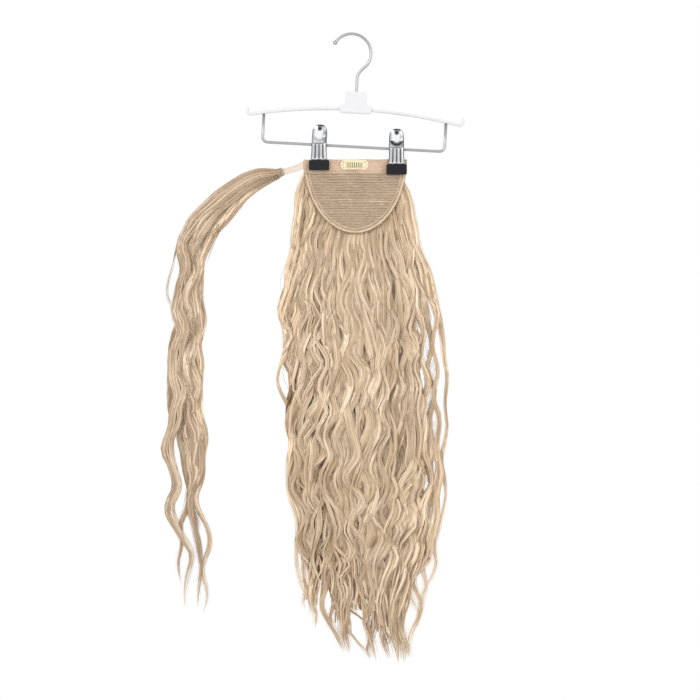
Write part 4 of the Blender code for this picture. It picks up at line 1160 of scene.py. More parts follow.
def filled(name, loops, thickness, rounding):
    """Mesh of a flat plate between loops of (x, y) points, with rounded edges."""
    curve = bpy.data.curves.new(name, "CURVE")
    curve.dimensions = "2D"
    curve.fill_mode = "BOTH"
    curve.extrude = thickness / 2
    curve.bevel_depth = rounding
    curve.bevel_resolution = 2
    curve.offset = -rounding
    for loop in loops:
        spline = curve.splines.new("POLY")
        spline.points.add(len(loop) - 1)
        spline.use_cyclic_u = True
        for point, (x, y) in zip(spline.points, loop):
            point.co = (x, y, 0, 1)
    holder = bpy.data.objects.new(name + "_curve", curve)
    bpy.context.collection.objects.link(holder)
    graph = bpy.context.evaluated_depsgraph_get()
    data = bpy.data.meshes.new_from_object(holder.evaluated_get(graph))
    bpy.data.objects.remove(holder)
    return data


def build_comb():
    """Snap comb: sewn plate with a window and holes, the grip behind it, teeth and ties."""
    end, width, height = 0.0056, 0.0320, 0.0112
    wide, high, corner = 0.0196, 0.0066, 0.0010
    straight = width / 2 - end
    y = -(BAND_THICKNESS / 2 + 0.0003)
    centre_z = COMB_TOP_Z - height / 2
    outline = arc_points(straight, 0, end, -pi / 2, pi / 24, 25)
    outline += arc_points(-straight, 0, end, pi / 2, pi / 24, 25)
    window = []
    for quarter, (side, level) in enumerate(((1, 1), (-1, 1), (-1, -1), (1, -1))):
        x, z = side * (wide / 2 - corner), level * (high / 2 - corner)
        window += arc_points(x, z, corner, quarter * pi / 2, pi / 8, 5)
    holes = [
        (side * (straight + 0.0036 * cos(angle)), 0.0036 * sin(angle))
        for side in (-1, 1)
        for angle in (-pi / 3.2, 0.0, pi / 3.2)
    ]
    loops = [outline, window] + [arc_points(x, z, 0.0008, 0, pi / 8, 16) for x, z in holes]
    data = filled("comb_plate", loops, 0.00044, 0.00012)
    place = Matrix.Translation((COMB_X, y - 0.0003, centre_z)) @ Matrix.Rotation(pi / 2, 4, "X")
    data.transform(place)
    outward(data)
    shade(data, 35)
    add_piece("comb_plate", data, "cream", "comb_frame")

    made = bmesh.new()
    bmesh.ops.create_cube(made, size=1.0)
    size = (wide - 0.0006, 0.0004, high - 0.0004)
    bmesh.ops.transform(made, matrix=Matrix.Diagonal((*size, 1)), verts=made.verts)
    bmesh.ops.translate(made, vec=(COMB_X, y - 0.0001, centre_z), verts=made.verts)
    grip = add_piece("comb_grip", mesh_of(made, "comb_grip"), "grip", "comb_frame")
    round_edges(grip, 0.0001, 2, 30)

    build_comb_teeth(y)
    t = np.linspace(0, 1, 9)
    paths = []
    for x, z in holes:
        out_x, out_z = (0.16, 0.75) if abs(z) > 0.001 else (0.24, 0.0)
        rise = 0.0002 * t - 0.0005 * np.sin(pi * t)
        x, z = x * (1 + out_x * t), z * (1 + out_z * t)
        paths.append(points_of(COMB_X + x, y + rise, centre_z + z))
    add_swept("comb_ties", np.array(paths), round_offsets(0.00028, 8), "thread", "comb_frame")


def build_comb_teeth(y):
    """Bar and teeth of the snap comb, each tooth arched and rounded at its tip."""
    count, tooth, bar = 10, 0.0010, 0.0200
    place = ("cream", "comb_teeth", COMB_BODY)
    top = COMB_TOP_Z - 0.0006
    pitch = (bar - tooth) / (count - 1)
    x = COMB_X - bar / 2 + tooth / 2 + pitch * np.arange(count)[:, None]
    t = np.linspace(0, 1, 18)
    front = y - 0.0009 - 0.00035
    paths = points_of(x, front - 0.00010 * np.sin(pi * t), top - 0.0018 - 0.0092 * t)
    narrow = np.sqrt(np.clip(1 - ((t - 0.90) / 0.10) ** 2, 0.15, 1)) * (t > 0.9) + (t <= 0.9)
    offsets = narrow[:, None, None] * ring_of(10, 0.00030, tooth / 2)
    add_swept("comb_tooth_row", paths, offsets, *place)
    t = np.linspace(-1, 1, 24)
    path = points_of(COMB_X + bar / 2 * t, front, top - 0.0013)[None]
    swell = np.clip((1 - np.abs(t)) / 0.04, 0.5, 1)
    offsets = swell[:, None, None] * ring_of(10, 0.00034, 0.0012)
    add_swept("comb_bar", path, offsets, *place)


# Strap and cuff

STRAP_START = Vector((CAP_X - CAP_HALF_WIDTH + 0.0010, 0, CAP_TOP_Z - 0.0056))
WRAP_START = Vector((-0.0865, 0, -0.1589))
STRAP_HEADING = (WRAP_START - STRAP_START).normalized()
STRAP_WIDTH = 0.0080


def build_strap():
    """Pale strap from the band's left end, folded lengthwise, with fine creases."""
    end = WRAP_START - STRAP_HEADING * 0.0050
    columns, rows = 60, 15
    t = np.linspace(0, 1, columns)
    share = np.linspace(-1, 1, rows)[:, None]
    up = np.array([STRAP_HEADING.z, 0, -STRAP_HEADING.x])
    sag = points_of(0, 0, -0.0012 * 4 * t * (1 - t))
    middle = np.array(STRAP_START) + np.array(end - STRAP_START) * t[:, None] + sag
    half_width = STRAP_WIDTH / 2 * (1 - 0.12 * np.sin(pi * t))
    half_width = half_width * (1 + 0.02 * smooth_noise((1, columns), (0, 5)))
    crease = 0.00016 * smooth_noise((rows, columns), (1, 9))
    half = 0.00042 + 0.00028 * bell(np.abs(share), 0.86, 0.10) + 0.5 * crease
    half = half * np.sqrt(np.clip((1 - np.abs(share)) / 0.08, 0.2, 1))
    data = slab("strap", middle + (share * half_width)[..., None] * up, half)
    strap = add_piece("strap_tape", data, "sheer", "wrap_strap")


def build_cuff():
    """Bound head of the wrap strand: hair drawn together under turns of thread."""
    heading = np.array(STRAP_HEADING)
    t = np.linspace(0, 1, 90)
    path = np.array(WRAP_START) - heading * 0.0073 + heading * (0.0072 * t)[:, None]
    envelope = np.interp(t, [0, 0.06, 0.3, 0.8, 1.0], [0.72, 0.93, 0.97, 1.0, 0.96])
    turns = 1 + 0.045 * np.sin(2 * pi * 9 * t)
    offsets = (envelope * turns)[:, None, None] * ring_of(28, 0.0034, 0.0052)
    add_swept("cuff_binding", path[None], offsets, "cuff", "wrap_cuff")


# Hair: the lines that it follows


def smooth_columns(rows, step=0.001, blur=12):
    """Smooth curves of a table's columns over its first one, as a function of that one."""
    table = np.array(rows)[::-1]
    keys = table[:, 0]
    at = np.arange(keys[0] - 0.05, keys[-1] + 0.05, step)
    curves = []
    for values in table.T[1:]:
        line = np.pad(np.interp(at, keys, values), blur + 1, mode="edge")
        curves.append(np.convolve(line, kernel_of(2 * blur + 3), "valid"))
    return lambda z: [np.interp(z, at, curve) for curve in curves]


FALL = smooth_columns(FALL_ROWS)


def tuft_of(share):
    """Where the lock at each share ends: x and z of its tuft's tip, and the tuft's half width."""
    from_share, u, v, half = np.array(TUFT_ROWS).T
    index = np.clip(np.searchsorted(from_share, share, side="right") - 1, 0, len(u) - 1)
    x, _, z = pixel(u[index], v[index])
    return x, z, half[index] * PIXEL


def lock_guides(share, depth, root, amplitude, stations, loose=0.5, short=0.03):
    """Centre lines of wavy locks, (count, stations, 3), and how far each has run.

    share runs from the fall's left edge to its right one, and depth from its front to its back.
    loose is how much the waves of the locks differ, and short the most that one ends too high.
    """
    count = len(share)
    tuft_x, tuft_z, tuft_half = tuft_of(share)
    tip_z = tuft_z + RNG.uniform(0, short, count)
    root_x, root_y, root_z = (root[:, k, None] for k in range(3))
    z = root_z + (tip_z[:, None] - root_z) * np.linspace(0, 1, stations)
    left, right, front, back = FALL(z)
    run = root_z - z
    spread = 1 - np.exp(-((run / 0.045) ** 1.4))
    margin = 0.0030 + amplitude[:, None] * 0.35
    x = left + margin + (right - left - 2 * margin) * share[:, None]
    side = np.abs(2 * share - 1)[:, None]
    half_depth = (back - front) / 2 * np.sqrt(np.clip(1 - side**3, 0.06, 1))
    y = (front + back) / 2 + depth[:, None] * (half_depth - 0.002)
    x = root_x + (x - root_x) * spread
    advance = 1 - np.exp(-((run / 0.035) ** 1.6))
    y = root_y + (y - root_y) * advance

    wavelength = RNG.uniform(0.046, 0.074, (count, 1))
    phase = 2 * pi * (1.3 * share + 0.16 * np.sin(9 * share) + 0.18 * depth)[:, None]
    phase = phase + RNG.normal(0, 1.0, (count, 1)) * loose
    phase = phase + 2 * pi * run / wavelength
    phase = phase + 0.8 * np.sin(2 * pi * run / 0.17 + RNG.uniform(0, 6.3, (count, 1)))
    grow = np.interp(run, [0, 0.02, 0.06, 0.16, 0.30, 0.45], [0, 0.15, 0.50, 0.80, 1.0, 1.12])
    size = amplitude[:, None] * grow * wavelength / 0.062
    size = size * (1 + 0.30 * np.sin(2 * pi * run / 0.13 + RNG.uniform(0, 6.3, (count, 1))))
    to_tip = np.clip((run - (run[:, -1:] - 0.075)) / 0.075, 0, 1)
    gather = to_tip * to_tip * (3 - 2 * to_tip)
    size = size * (1 - 0.30 * gather)
    x = x + size * np.sin(phase) + wander(count, stations, 9, 0.0032) * np.clip(run / 0.1, 0, 1)
    tip_x = tuft_x + tuft_half * RNG.uniform(-1, 1, count)
    x = x + (tip_x[:, None] - x) * 0.76 * gather
    depth_share = RNG.uniform(0.35, 0.75, (count, 1))
    y = y + depth_share * size * np.cos(phase + 0.5) + wander(count, stations, 9, 0.0012)
    return points_of(x, y, z), run


def outward_turn(points, side):
    """Angle about Z of the fall's surface at each point. side is -1 on its front, 1 on its back."""
    left, right, front, back = FALL(points[..., 2])
    x = (points[..., 0] - (left + right) / 2) / ((right - left) / 2)
    y = (points[..., 1] - (front + back) / 2) / ((back - front) / 2)
    x = np.sign(x) * np.clip(np.abs(x) - 0.55, 0, 1) * 2.0
    return np.arctan2(-x * side, np.maximum(side * y, 0.35)) * 0.5


def behind_cap(paths, gap=0.0024):
    """Keeps lines behind the cap's net and binding, and just clear of its edge below them."""
    x, z = paths[..., 0], paths[..., 2]
    down = np.maximum(CAP_TOP_Z - z, 0)
    reach = np.hypot((x - CAP_X) / CAP_HALF_WIDTH, down / CAP_DEPTH)
    outside = np.maximum(reach - 1, 0) * CAP_HALF_WIDTH
    least = cap_cup(x, z) + gap + RNG.uniform(0, 0.0012, (len(paths), 1)) - 1.1 * outside
    paths[..., 1] = np.maximum(paths[..., 1], least)
    return paths


def lock_clumps(guides, run, width, clumps, bow):
    """Clumps that part and weave across each lock's bowed sheet.

    bow is 1 where a lock's edges turn towards +Y, and -1 where they turn towards -Y.
    Returns each clump's centre line and how it faces.
    """
    count, stations = guides.shape[:2]
    turn = RNG.normal(0, 0.22, (count, 1))
    turn = turn + np.clip(run / 0.15, 0, 2.2) * RNG.normal(0, 0.25, (count, 1))
    turn = turn + outward_turn(guides, -bow[:, None])
    seat = np.linspace(-0.85, 0.85, clumps) + RNG.uniform(-0.15, 0.15, (count, clumps))
    deep = RNG.uniform(-0.30, 0.30, (count, clumps, 1))
    phase = RNG.uniform(0, 2 * pi, (count, 1, 1)) + RNG.normal(0, 1.1, (count, clumps, 1))
    t = np.linspace(0, 1, stations)
    taper = np.interp(t, [0, 0.12, 0.55, 0.85, 1.0], [0.8, 1.0, 1.0, 0.85, 0.6])
    ribbon = (width[:, None] * taper)[:, None]
    place = seat[..., None] + 0.24 * np.sin(run[:, None] * 2 * pi / 0.052 + phase)
    roll = 0.20 * np.cos(run[:, None] * 2 * pi / 0.066 + phase)
    along = ribbon * place
    thick = ribbon * (deep + roll + 0.38 * bow[:, None, None] * place**2)
    c, s = np.cos(turn)[:, None], np.sin(turn)[:, None]
    paths = np.repeat(guides[:, None], clumps, axis=1)
    paths[..., 0] += along * c - thick * s
    paths[..., 1] += (along * s + thick * c) * 0.8
    facing = turn[:, None] + 0.50 * bow[:, None, None] * place
    return paths.reshape(-1, stations, 3), facing.reshape(-1, stations)


def trimmed(paths, keep):
    """Each line cut to a share of its length and sampled again with as many stations."""
    last = paths.shape[1] - 1
    at = np.linspace(0, 1, last + 1) * keep[:, None] * last
    low = np.clip(at.astype(int), 0, last - 1)
    part = (at - low)[..., None]
    first = np.take_along_axis(paths, low[..., None], axis=1)
    second = np.take_along_axis(paths, low[..., None] + 1, axis=1)
    return first * (1 - part) + second * part


# Hair: sheets, strands and inner locks

BULGE = 0.08
STRAND_WIDTHS = (0.00020, 0.00050)


def hair_piece(name, paths, offsets, tones, lean):
    """Adds a piece of hair bodies, swept along paths, in the look that its name calls for."""
    # The inner copy paints the shade in the gaps, the pale copy is painted light on the side locks and
    # flyaways, and the wrap's fringe takes the main copy, lighter than the rest of the wrap, painted
    # light where it lies in shade.
    if "under" in name or "mass" in name:
        look = "inner_hair"
    elif name.startswith("fall_edges") or name == "fall_flyaways":
        look = "painted_light_hair"
    elif name.startswith("wrap") and not name.startswith("wrap_fringe"):
        look = "wrap_hair"
    elif name.endswith("sheets") and name.startswith("fall"):
        look = "sheet_hair"
    else:
        look = "hair"
    node = "ponytail_fall" if name.startswith("fall") else "wrap_strand"
    data = build_mesh(name, *sweep(paths, offsets), uvs=strip_maps(tones, lean, paths))
    return add_piece(name, data, look, node)


def turned(across, out, angles):
    """Offsets for sweep, of sections turned by angles: across and out are where each side is."""
    c, s = np.cos(angles)[..., None], np.sin(angles)[..., None]
    return points_of(across * s + out * c, across * c - out * s)


def sheet_piece(name, paths, half, facing, side, tones):
    """One piece of thin hair sheets: bulged outward, finely rippled, tapered at both ends.

    half is each sheet's half width at each station, and side is 1 where it bulges towards +Y.
    """
    count, stations = paths.shape[:2]
    share = np.array([-1.0, -0.5, 0.0, 0.5, 1.0, 0.0])
    inner = np.array([0, 0, 0, 0, 0, 1])
    t = np.linspace(0, 1, stations)
    ends = np.interp(t, [0, 0.05, 0.70, 0.90, 1.0], [0.5, 1.0, 1.0, 0.65, 0.25])
    swell = 1 + np.clip(wander(count, stations, 4, 0.13), -0.3, 0.3)
    half = (half * ends * swell)[..., None]
    ripple = wander(count * 6, stations, 7, 0.00014).reshape(count, 6, stations).transpose(0, 2, 1)
    ripple = ripple * (1 - inner) * (np.abs(share) < 0.9) * (half / half.max()) ** 0.5
    out = BULGE * (1 - share**2) * half + ripple - inner * np.minimum(0.0005, 0.3 * half)
    offsets = turned(share * half, out * side[:, None, None], facing)
    wide = half.max(axis=1) * 1000
    tone = tones[:, None] + share * wide * 0.14
    flip = side < 0
    offsets[flip] = offsets[flip][:, :, ::-1]
    tone[flip] = tone[flip][:, ::-1]
    lean = np.where(flip[:, None], share[::-1], share)
    piece = hair_piece(name, paths, offsets, tone, lean)
    piece.data.set_sharp_from_angle(angle=radians(40))


def strands_on(paths, half, facing, side, each, spread=1.05, fray=0.0010):
    """Loose strands that lie on hair sheets, a few on each, and part more towards the tips.

    spread is how much of a sheet's width they reach over, and fray how far they part at its tip.
    """
    first, second = (np.repeat(vector, each, 0) for vector in path_frame(paths))
    count, stations = len(paths) * each, paths.shape[1]
    share = RNG.uniform(-spread, spread, (count, 1)) + wander(count, stations, 8, 0.12)
    half, facing = np.repeat(half, each, 0), np.repeat(facing, each, 0)
    side = np.repeat(side, each)[:, None]
    across = share * (half + fray * np.clip(np.linspace(-1, 1, stations), 0, 1) ** 2)
    lift = 0.0004 * RNG.uniform(-0.2, 1.6, (count, 1))
    out = side * (BULGE * (1 - share**2) * half + lift)
    c, s = np.cos(facing), np.sin(facing)
    lines = np.repeat(paths, each, 0)
    lines = lines + first * (across * s + out * c)[..., None]
    lines = lines + second * (across * c - out * s)[..., None]
    lines[..., 0] += wander(count, stations, 3, 0.00028)
    return lines, facing


def strand_piece(name, paths, wide, tones, flat=0.4, facing=0.0, slim=1.0):
    """One piece of many slim strands with flattened sections, tapered at both ends.

    wide is each strand's half width, flat its section's thickness over that, facing its turn
    about its path, and slim what narrows it along its way.
    """
    count, stations = paths.shape[:2]
    t = np.linspace(0, 1, stations)
    taper = np.interp(t, [0, 0.03, 0.60, 0.88, 1.0], [0.5, 1.0, 1.0, 0.7, 0.2])
    turn = facing + RNG.normal(0, 0.25, (count, 1))
    corner_x, corner_y = np.array([0.0, -0.87, 0.87]), np.array([-1.0, 0.5, 0.5])
    wide = wide[:, None]
    thick = np.maximum(wide * flat, 0.00014)
    across, deep = (corner_x * wide)[:, None], (corner_y * thick)[:, None]
    offsets = turned(across, deep, turn) * (taper * slim * np.ones((count, 1)))[..., None, None]
    tone = tones[:, None] + np.array([0.0, -0.9, 0.9]) * (wide / 0.001)
    hair_piece(name, paths, offsets, tone, (corner_x / 0.87)[None])


def loose_strands(name, lines, tones, each, **shape):
    """One piece of loose strands that lie on sheets of these tones, a few on each."""
    tones = np.repeat(tones, each) + RNG.uniform(0, 6, len(lines))
    strand_piece(name, lines, RNG.uniform(*STRAND_WIDTHS, len(lines)), tones, **shape)


def ribbon_piece(name, guides, width, lobes, end):
    """One piece of fluted lock bodies that fill the hair under its sheets."""
    guides = trimmed(guides, np.full(len(guides), end))
    count, stations = guides.shape[:2]
    sides = 2 * lobes
    t = np.linspace(0, 1, stations)
    taper = np.interp(t, [0, 0.10, 0.22, 0.6, 0.8, 1.0], [0.3, 0.5, 1.0, 0.9, 0.7, 0.2])
    angles = 2 * pi * np.arange(sides) / sides
    odd = np.arange(sides) % 2
    twist = (RNG.uniform(0, pi, (count, 1)) + 3.0 * t * RNG.normal(0, 1, (count, 1)))[..., None]
    lobe = 1 + 0.16 * odd
    section = points_of(lobe * np.cos(angles + twist) * 0.6, lobe * np.sin(angles + twist))
    tone = RNG.uniform(0, 60, (count, 1)) + 0.9 * odd
    offsets = (width * taper)[..., None, None] * section
    hair_piece(name, guides, offsets, tone, np.sin(angles)[None])


# Hair: where it leaves the cap


def front_roots(share):
    """Where the front locks leave the cap: just behind its bound edge."""
    x = CAP_X + (2 * share - 1) * (CAP_HALF_WIDTH - 0.004)
    across = np.clip((x - CAP_X) / CAP_HALF_WIDTH, -0.999, 0.999)
    edge = CAP_TOP_Z - CAP_DEPTH * np.sqrt(1 - across**2)
    z = np.minimum(edge + 0.014, CAP_TOP_Z - BAND_HEIGHT - 0.004)
    return points_of(x, cap_cup(x, z) + 0.0035, z)


def back_roots(share, row_z):
    """Where the back locks leave their weft rows on the back of the cap."""
    depth = np.clip((CAP_TOP_Z - row_z) / CAP_DEPTH, 0, 0.97)
    reach = (CAP_HALF_WIDTH - 0.005) * np.sqrt(1 - depth**2)
    x = CAP_X + (2 * share - 1) * reach
    x = np.where(row_z > -0.163, np.clip(x, -0.023, 0.035), x)
    return points_of(x, cap_cup(x, row_z) + 0.0032, row_z)


def weft_row(share, name):
    """Height of the weft row a back lock hangs from. The outer locks form one neat line."""
    if name == "fall_back_under":
        return RNG.choice([-0.171, -0.177, -0.189, -0.201], len(share))
    between = np.abs(share - 0.53) < 0.235
    return np.where(between, -0.1500, -0.1650) - RNG.uniform(0, 0.0008, len(share))


def even_share(count, left, right):
    """Even shares with a little scatter."""
    step = (np.arange(count) + 0.5 + RNG.uniform(-0.30, 0.30, count)) / count
    return left + (right - left) * step


# Hair: locks traced on the photo


def smooth_line(rows, count, soft=9.0):
    """Even, rounded line through rows of (u, v, half width) in pixels, in metres."""
    rows = np.array(rows, dtype=float)
    run = run_along(rows[:, :2])
    line = points_at(rows, run, np.linspace(0, run[-1], 500))
    kernel = kernel_of(max(5, int(soft * 240 / run[-1])) | 1)
    half = len(kernel) // 2
    smooth = []
    for column in line.T:
        low = 2 * column[0] - column[1 : half + 1][::-1]
        high = 2 * column[-1] - column[-half - 1 : -1][::-1]
        smooth.append(np.convolve(np.concatenate([low, column, high]), kernel, "valid"))
    u, v, half_width = resample(np.stack(smooth, axis=-1), count).T
    return points_of(*pixel(u, v)), np.maximum(half_width, 0.3) * PIXEL


def traced_clumps(guide, half, clumps, deepest, calm, twist):
    """Clumps of one traced lock, each with a front and a back sheet, that weave across it.

    Returns centre lines, half widths, how they face and the side they bulge to.
    """
    run = run_along(guide)
    tangent = unit(np.gradient(guide, axis=0))
    across = points_of(-tangent[:, 2], 0, tangent[:, 0])
    seats = np.linspace(-0.58, 0.58, clumps) if clumps > 1 else np.zeros(1)
    wide = {1: 1.0, 2: 0.62, 3: 0.50}.get(clumps, 0.42)
    weave = np.clip(run / calm, 0, 1) ** 1.5 * (clumps > 1)
    thick = np.minimum(half, deepest)
    made = []
    wave, start = RNG.uniform(0.036, 0.056), RNG.uniform(0, 2 * pi)
    for seat in seats:
        turn = 2 * pi * run / wave + start + 1.2 * seat + RNG.normal(0, 0.8)
        for side in (-1.0, 1.0):
            place = seat + 0.26 * twist * np.sin(turn) * weave + RNG.uniform(-0.10, 0.10)
            path = guide + across * (place * half)[:, None]
            into = 0.34 * side * (1 - 0.6 * place**2) + 0.30 * twist * np.cos(turn) * weave
            path[:, 1] += into * thick
            made.append((path, half * wide * RNG.uniform(0.85, 1.15), -side * 0.7 * place, side))
    return [np.array(part) for part in zip(*made)]


def traced_piece(name, locks, depth_at, each, stations, deepest=0.0050, fit=None, fray=0.0012,
                 calm=0.05, twist=1.0, fine=1.45, body=1.0):
    """Sheets and strands of traced locks. locks holds (deep, rows) pairs.

    depth_at gives a lock's depths from how far it has run, its index and its deep. deepest is
    the most that a lock is thick. calm is the length over which the clumps start to weave,
    twist how much they do, and fine how many pixels of half width each clump takes. body is
    how much of a clump its sheet fills, with loose strands past it.
    """
    parts = []
    for index, (deep, rows) in enumerate(locks):
        guide, half = smooth_line(rows, stations)
        guide[:, 1] = depth_at(run_along(guide), index, deep)
        clumps = int(np.clip(round(half.max() / PIXEL / fine), 1, 5))
        made = traced_clumps(guide, half, clumps, deepest, calm, twist)
        parts.append((*made, 11.0 * index + 0.9 * np.arange(len(made[0]))))
    paths, halves, faces, sides, tones = (np.concatenate(part) for part in zip(*parts))
    if fit:
        paths = fit(paths)
    paths = trimmed(paths, RNG.uniform(0.97, 1.0, len(paths)))
    sheet_piece(name + "_sheets", paths, halves * body, faces, sides, tones)
    lines, facing = strands_on(paths, halves, faces, sides, each, spread=1.25, fray=fray)
    lines = trimmed(lines, RNG.uniform(0.95, 1.0, len(lines)))
    slim = np.repeat(np.clip(halves / halves.max(axis=1, keepdims=True), 0.25, 1) ** 0.6, each, 0)
    loose_strands(name, lines, tones, each, facing=facing, slim=slim)


def edge_depth(run, index, deep):
    """Depths of a side lock, which sways in and out once it is clear of the cap."""
    arrive = np.clip(run / 0.10, 0, 1) ** 0.8
    sway = 0.004 * np.sin(2 * pi * run / 0.085 + 1.7 * index)
    return 0.0045 + (deep - 0.0045) * arrive + sway * arrive


def foot_depth(run, index, deep):
    """Depths of a lock at the fall's foot."""
    arrive = np.clip(run / 0.05, 0, 1)
    return 0.004 + (deep - 0.004) * arrive + 0.003 * np.sin(2 * pi * run / 0.07 + 2.1 * index)


def wrap_depth(run, index, deep):
    """Depths of a lock of the wrap strand."""
    arrive = np.clip((run - 0.05) / 0.08, 0, 1)
    return deep + 0.0028 * np.sin(2 * pi * run / 0.090 + 1.9 * index) * arrive


# The right side's traced locks start past this pixel column, and sway up to this index.
FALL_MIDDLE_U, LAST_SWAYED = 350, 8


def swayed(rows, index):
    """Rows of a right side lock with a wave added below the cap. Other locks stay as they are."""
    if rows[0][0] < FALL_MIDDLE_U or index > LAST_SWAYED:
        return rows
    made = []
    for u, v, half in rows:
        grow = min(max((v - 250) / 60, 0), 1)
        made.append((u + 2.2 * sin(2 * pi * v / 49 + 2.3 * index) * grow, v, 0.95 * half))
    return made


# Pieces of the fall: name, locks, depths from front to back, shares from left to right, clumps
# of each lock, strands on each clump, and stations along it.
FALL_PLANS = (
    ("fall_front", 24, (-1.0, -0.74), (0.02, 0.86), 6, 4, 54),
    ("fall_front_under", 24, (-0.66, -0.30), (0.02, 0.88), 4, 1, 46),
    ("fall_back_under", 20, (0.25, 0.70), (0.03, 0.85), 3, 1, 40),
    ("fall_back", 22, (0.70, 1.0), (0.02, 0.85), 4, 2, 48),
)


def build_fall():
    """The main fall: inner locks, then sheets with strands on them, side locks, foot and flyaways."""
    count = 34
    share = even_share(count, 0.07, 0.88)
    depth = RNG.uniform(-0.35, 0.40, count)
    root = back_roots(0.12 + 0.76 * share, RNG.choice([-0.172, -0.184, -0.196, -0.208], count))
    guides, _ = lock_guides(share, depth, root, RNG.uniform(0.003, 0.005, count), 44)
    width = RNG.uniform(0.0046, 0.0060, (count, 1))
    ribbon_piece("fall_mass", behind_cap(guides, 0.0060), width, 4, 0.84)

    for name, count, depths, reach, clumps, each, stations in FALL_PLANS:
        share = even_share(count, *reach)
        depth = RNG.uniform(*depths, count)
        if depths[0] < 0:
            root = front_roots(share)
        else:
            root = back_roots(share, weft_row(share, name))
        calm = 0.7 + 0.3 * np.clip((0.5 - np.abs(share - 0.47)) / 0.14, 0, 1)
        size = calm * RNG.uniform(0.0040, 0.0066, count)
        guides, run = lock_guides(share, depth, root, size, stations)
        width = RNG.uniform(0.0065, 0.0100, count)
        bow = np.where(depth < 0, 1.0, -1.0)
        paths, facing = lock_clumps(guides, run, width, clumps, bow)
        paths = trimmed(behind_cap(paths), 1 - 0.14 * RNG.uniform(0, 1, len(paths)) ** 1.8)
        side = np.repeat(-bow, clumps)
        spread = RNG.uniform(1.4, 2.1, (len(paths), 1)) / clumps
        half = np.repeat(width, clumps)[:, None] * spread * np.ones(stations)
        tones = np.repeat(RNG.uniform(0, 80, count), clumps) + RNG.uniform(0, 4, len(paths))
        sheet_piece(name + "_sheets", paths, half, facing, side, tones)
        lines, faces = strands_on(paths, half, facing, side, each)
        lines = trimmed(behind_cap(lines, 0.0022), RNG.uniform(0.90, 1.0, len(lines)))
        loose_strands(name, lines, tones, each, facing=faces)

    edges = [(deep, swayed(rows, i)) for i, (rows, deep) in enumerate(zip(EDGE_LOCKS, EDGE_DEPTHS))]
    traced_piece("fall_edges", edges, edge_depth, 4, 54, fit=behind_cap, fray=0.0022, body=0.78)
    traced_piece("fall_foot", FOOT_LOCKS, foot_depth, 4, 34, fray=0.0034, body=0.85)

    reaches = ((-0.02, 0.06), (0.1, 0.95), (0.94, 1.01))
    share = np.concatenate([RNG.uniform(*reach, 12) for reach in reaches])
    count = len(share)
    depth = RNG.uniform(-0.9, 0.9, count)
    root = back_roots(np.clip(share, 0.02, 0.98), RNG.choice([-0.166, -0.18, -0.195], count))
    sizes = RNG.uniform(0.005, 0.008, count)
    guides, _ = lock_guides(share, depth, root, sizes, 40, loose=1.6, short=0.10)
    strand_piece("fall_flyaways", guides, np.full(count, 0.00024), RNG.uniform(0, 80, count), flat=0.8)


def build_wrap():
    """The wrap strand: wavy locks, traced on the photo, that weave together and then part."""
    for piece in ("wrap_locks", "wrap_fringe"):
        fringe = piece == "wrap_fringe"
        locks = [lock for key, lock in WRAP_LOCKS.items() if (key == "fringe") == fringe]
        traced_piece(piece, locks, wrap_depth, 5, 68, deepest=0.0045, calm=0.17, twist=0.75, fine=1.9)

    t = np.linspace(0, 1, 40)
    guide, half = smooth_line(WRAP_WISP, len(t), 14.0)
    lines = []
    for _ in range(5):
        side = RNG.uniform(-1, 1) + 0.8 * np.sin(5 * t + RNG.uniform(0, 6))
        lines.append(guide + points_of(side * half * 0.9, RNG.uniform(-0.002, 0.002), 0))
    for start, tip in WRAP_FRINGE:
        a, b = np.array(pixel(*start)), np.array(pixel(*tip))
        line = bent(a, (a + b) / 2 + (0.004, 0, 0.003), b, t[:, None])
        lines.append(line + (0, RNG.uniform(-0.003, 0.003), 0))
    lines = np.array(lines)
    tones = RNG.uniform(0, 80, len(lines))
    strand_piece("wrap_wisps", lines, np.full(len(lines), 0.00030), tones, flat=0.8)

    guides, halves = [], []
    for deep, rows in list(WRAP_LOCKS.values())[:4]:
        guide, half = smooth_line(rows, 84)
        guide[:, 1] = deep + 0.0030
        guides.append(guide)
        halves.append(np.minimum(0.36 * half, 0.0026))
    ribbon_piece("wrap_mass", np.array(guides), np.array(halves), 5, 0.86)


# Stage

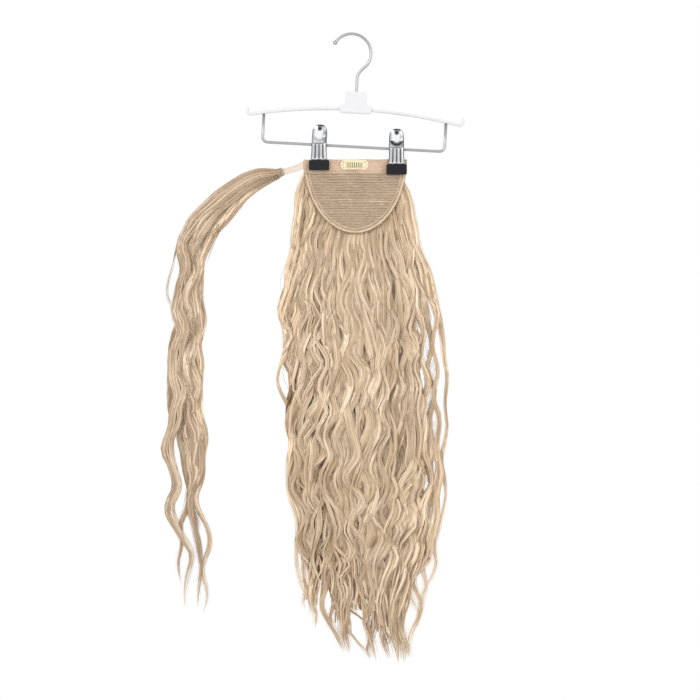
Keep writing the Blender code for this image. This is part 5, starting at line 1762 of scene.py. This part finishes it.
AIM = Vector((0, 0, -0.35))
CAMERA_DISTANCE = 2.4
PHOTO_SIZE = 700
FLOOR_Z, FLOOR_RADIUS = -1.60, 2.2
# Area lights: name, place, width and height, and watts.
LIGHTS = (
    ("key", (-1.1, -1.7, 0.7), (0.9, 1.3), 21),
    ("fill", (1.4, -1.5, 0.1), (0.9, 1.4), 10),
    ("rim", (0.5, 1.6, 0.8), (1.2, 1.0), 6),
)


def build_stage():
    """Pale floor far below the hanging piece, soft studio light and the photo's camera."""
    scene = bpy.context.scene
    scene.view_settings.view_transform = "Standard"
    scene.view_settings.look = "None"
    world = bpy.data.worlds.new("studio")
    world.use_nodes = True
    background = world.node_tree.nodes["Background"]
    background.inputs["Color"].default_value = (1, 1, 1, 1)
    background.inputs["Strength"].default_value = 1.0
    scene.world = world

    def put(name, data):
        """Adds an object of the stage."""
        obj = bpy.data.objects.new(name, data)
        scene.collection.objects.link(obj)
        return obj

    made = bmesh.new()
    bmesh.ops.create_circle(made, cap_ends=True, segments=64, radius=FLOOR_RADIUS)
    bmesh.ops.translate(made, vec=(0, 0, FLOOR_Z), verts=made.verts)
    data = mesh_of(made, "floor")
    data.materials.append(shader("floor_paint", (0.93, 0.93, 0.93), 0.9)[0])
    floor = put("floor", data)

    for name, place, size, power in LIGHTS:
        light = bpy.data.lights.new(name, "AREA")
        light.shape = "RECTANGLE"
        light.size, light.size_y = size
        light.energy = power
        lamp = put(name, light)
        lamp.location = place
        lamp.rotation_euler = (AIM - Vector(place)).to_track_quat("-Z", "Y").to_euler()

    lens = bpy.data.cameras.new("camera")
    lens.sensor_width = 36.0
    lens.lens = lens.sensor_width * CAMERA_DISTANCE / (PHOTO_SIZE * PIXEL)
    x, _, z = pixel(PHOTO_SIZE / 2, PHOTO_SIZE / 2)
    camera = put("camera", lens)
    camera.location = (x, -CAMERA_DISTANCE, z)
    camera.rotation_euler = (pi / 2, 0, 0)
    scene.camera = camera


LOOKS = make_looks()
build_hook()
build_bar()
build_rail()
build_plate()
build_clips()
build_band()
build_panel()
build_binding()
build_comb()
build_strap()
build_cuff()
build_fall()
build_wrap()
build_stage()
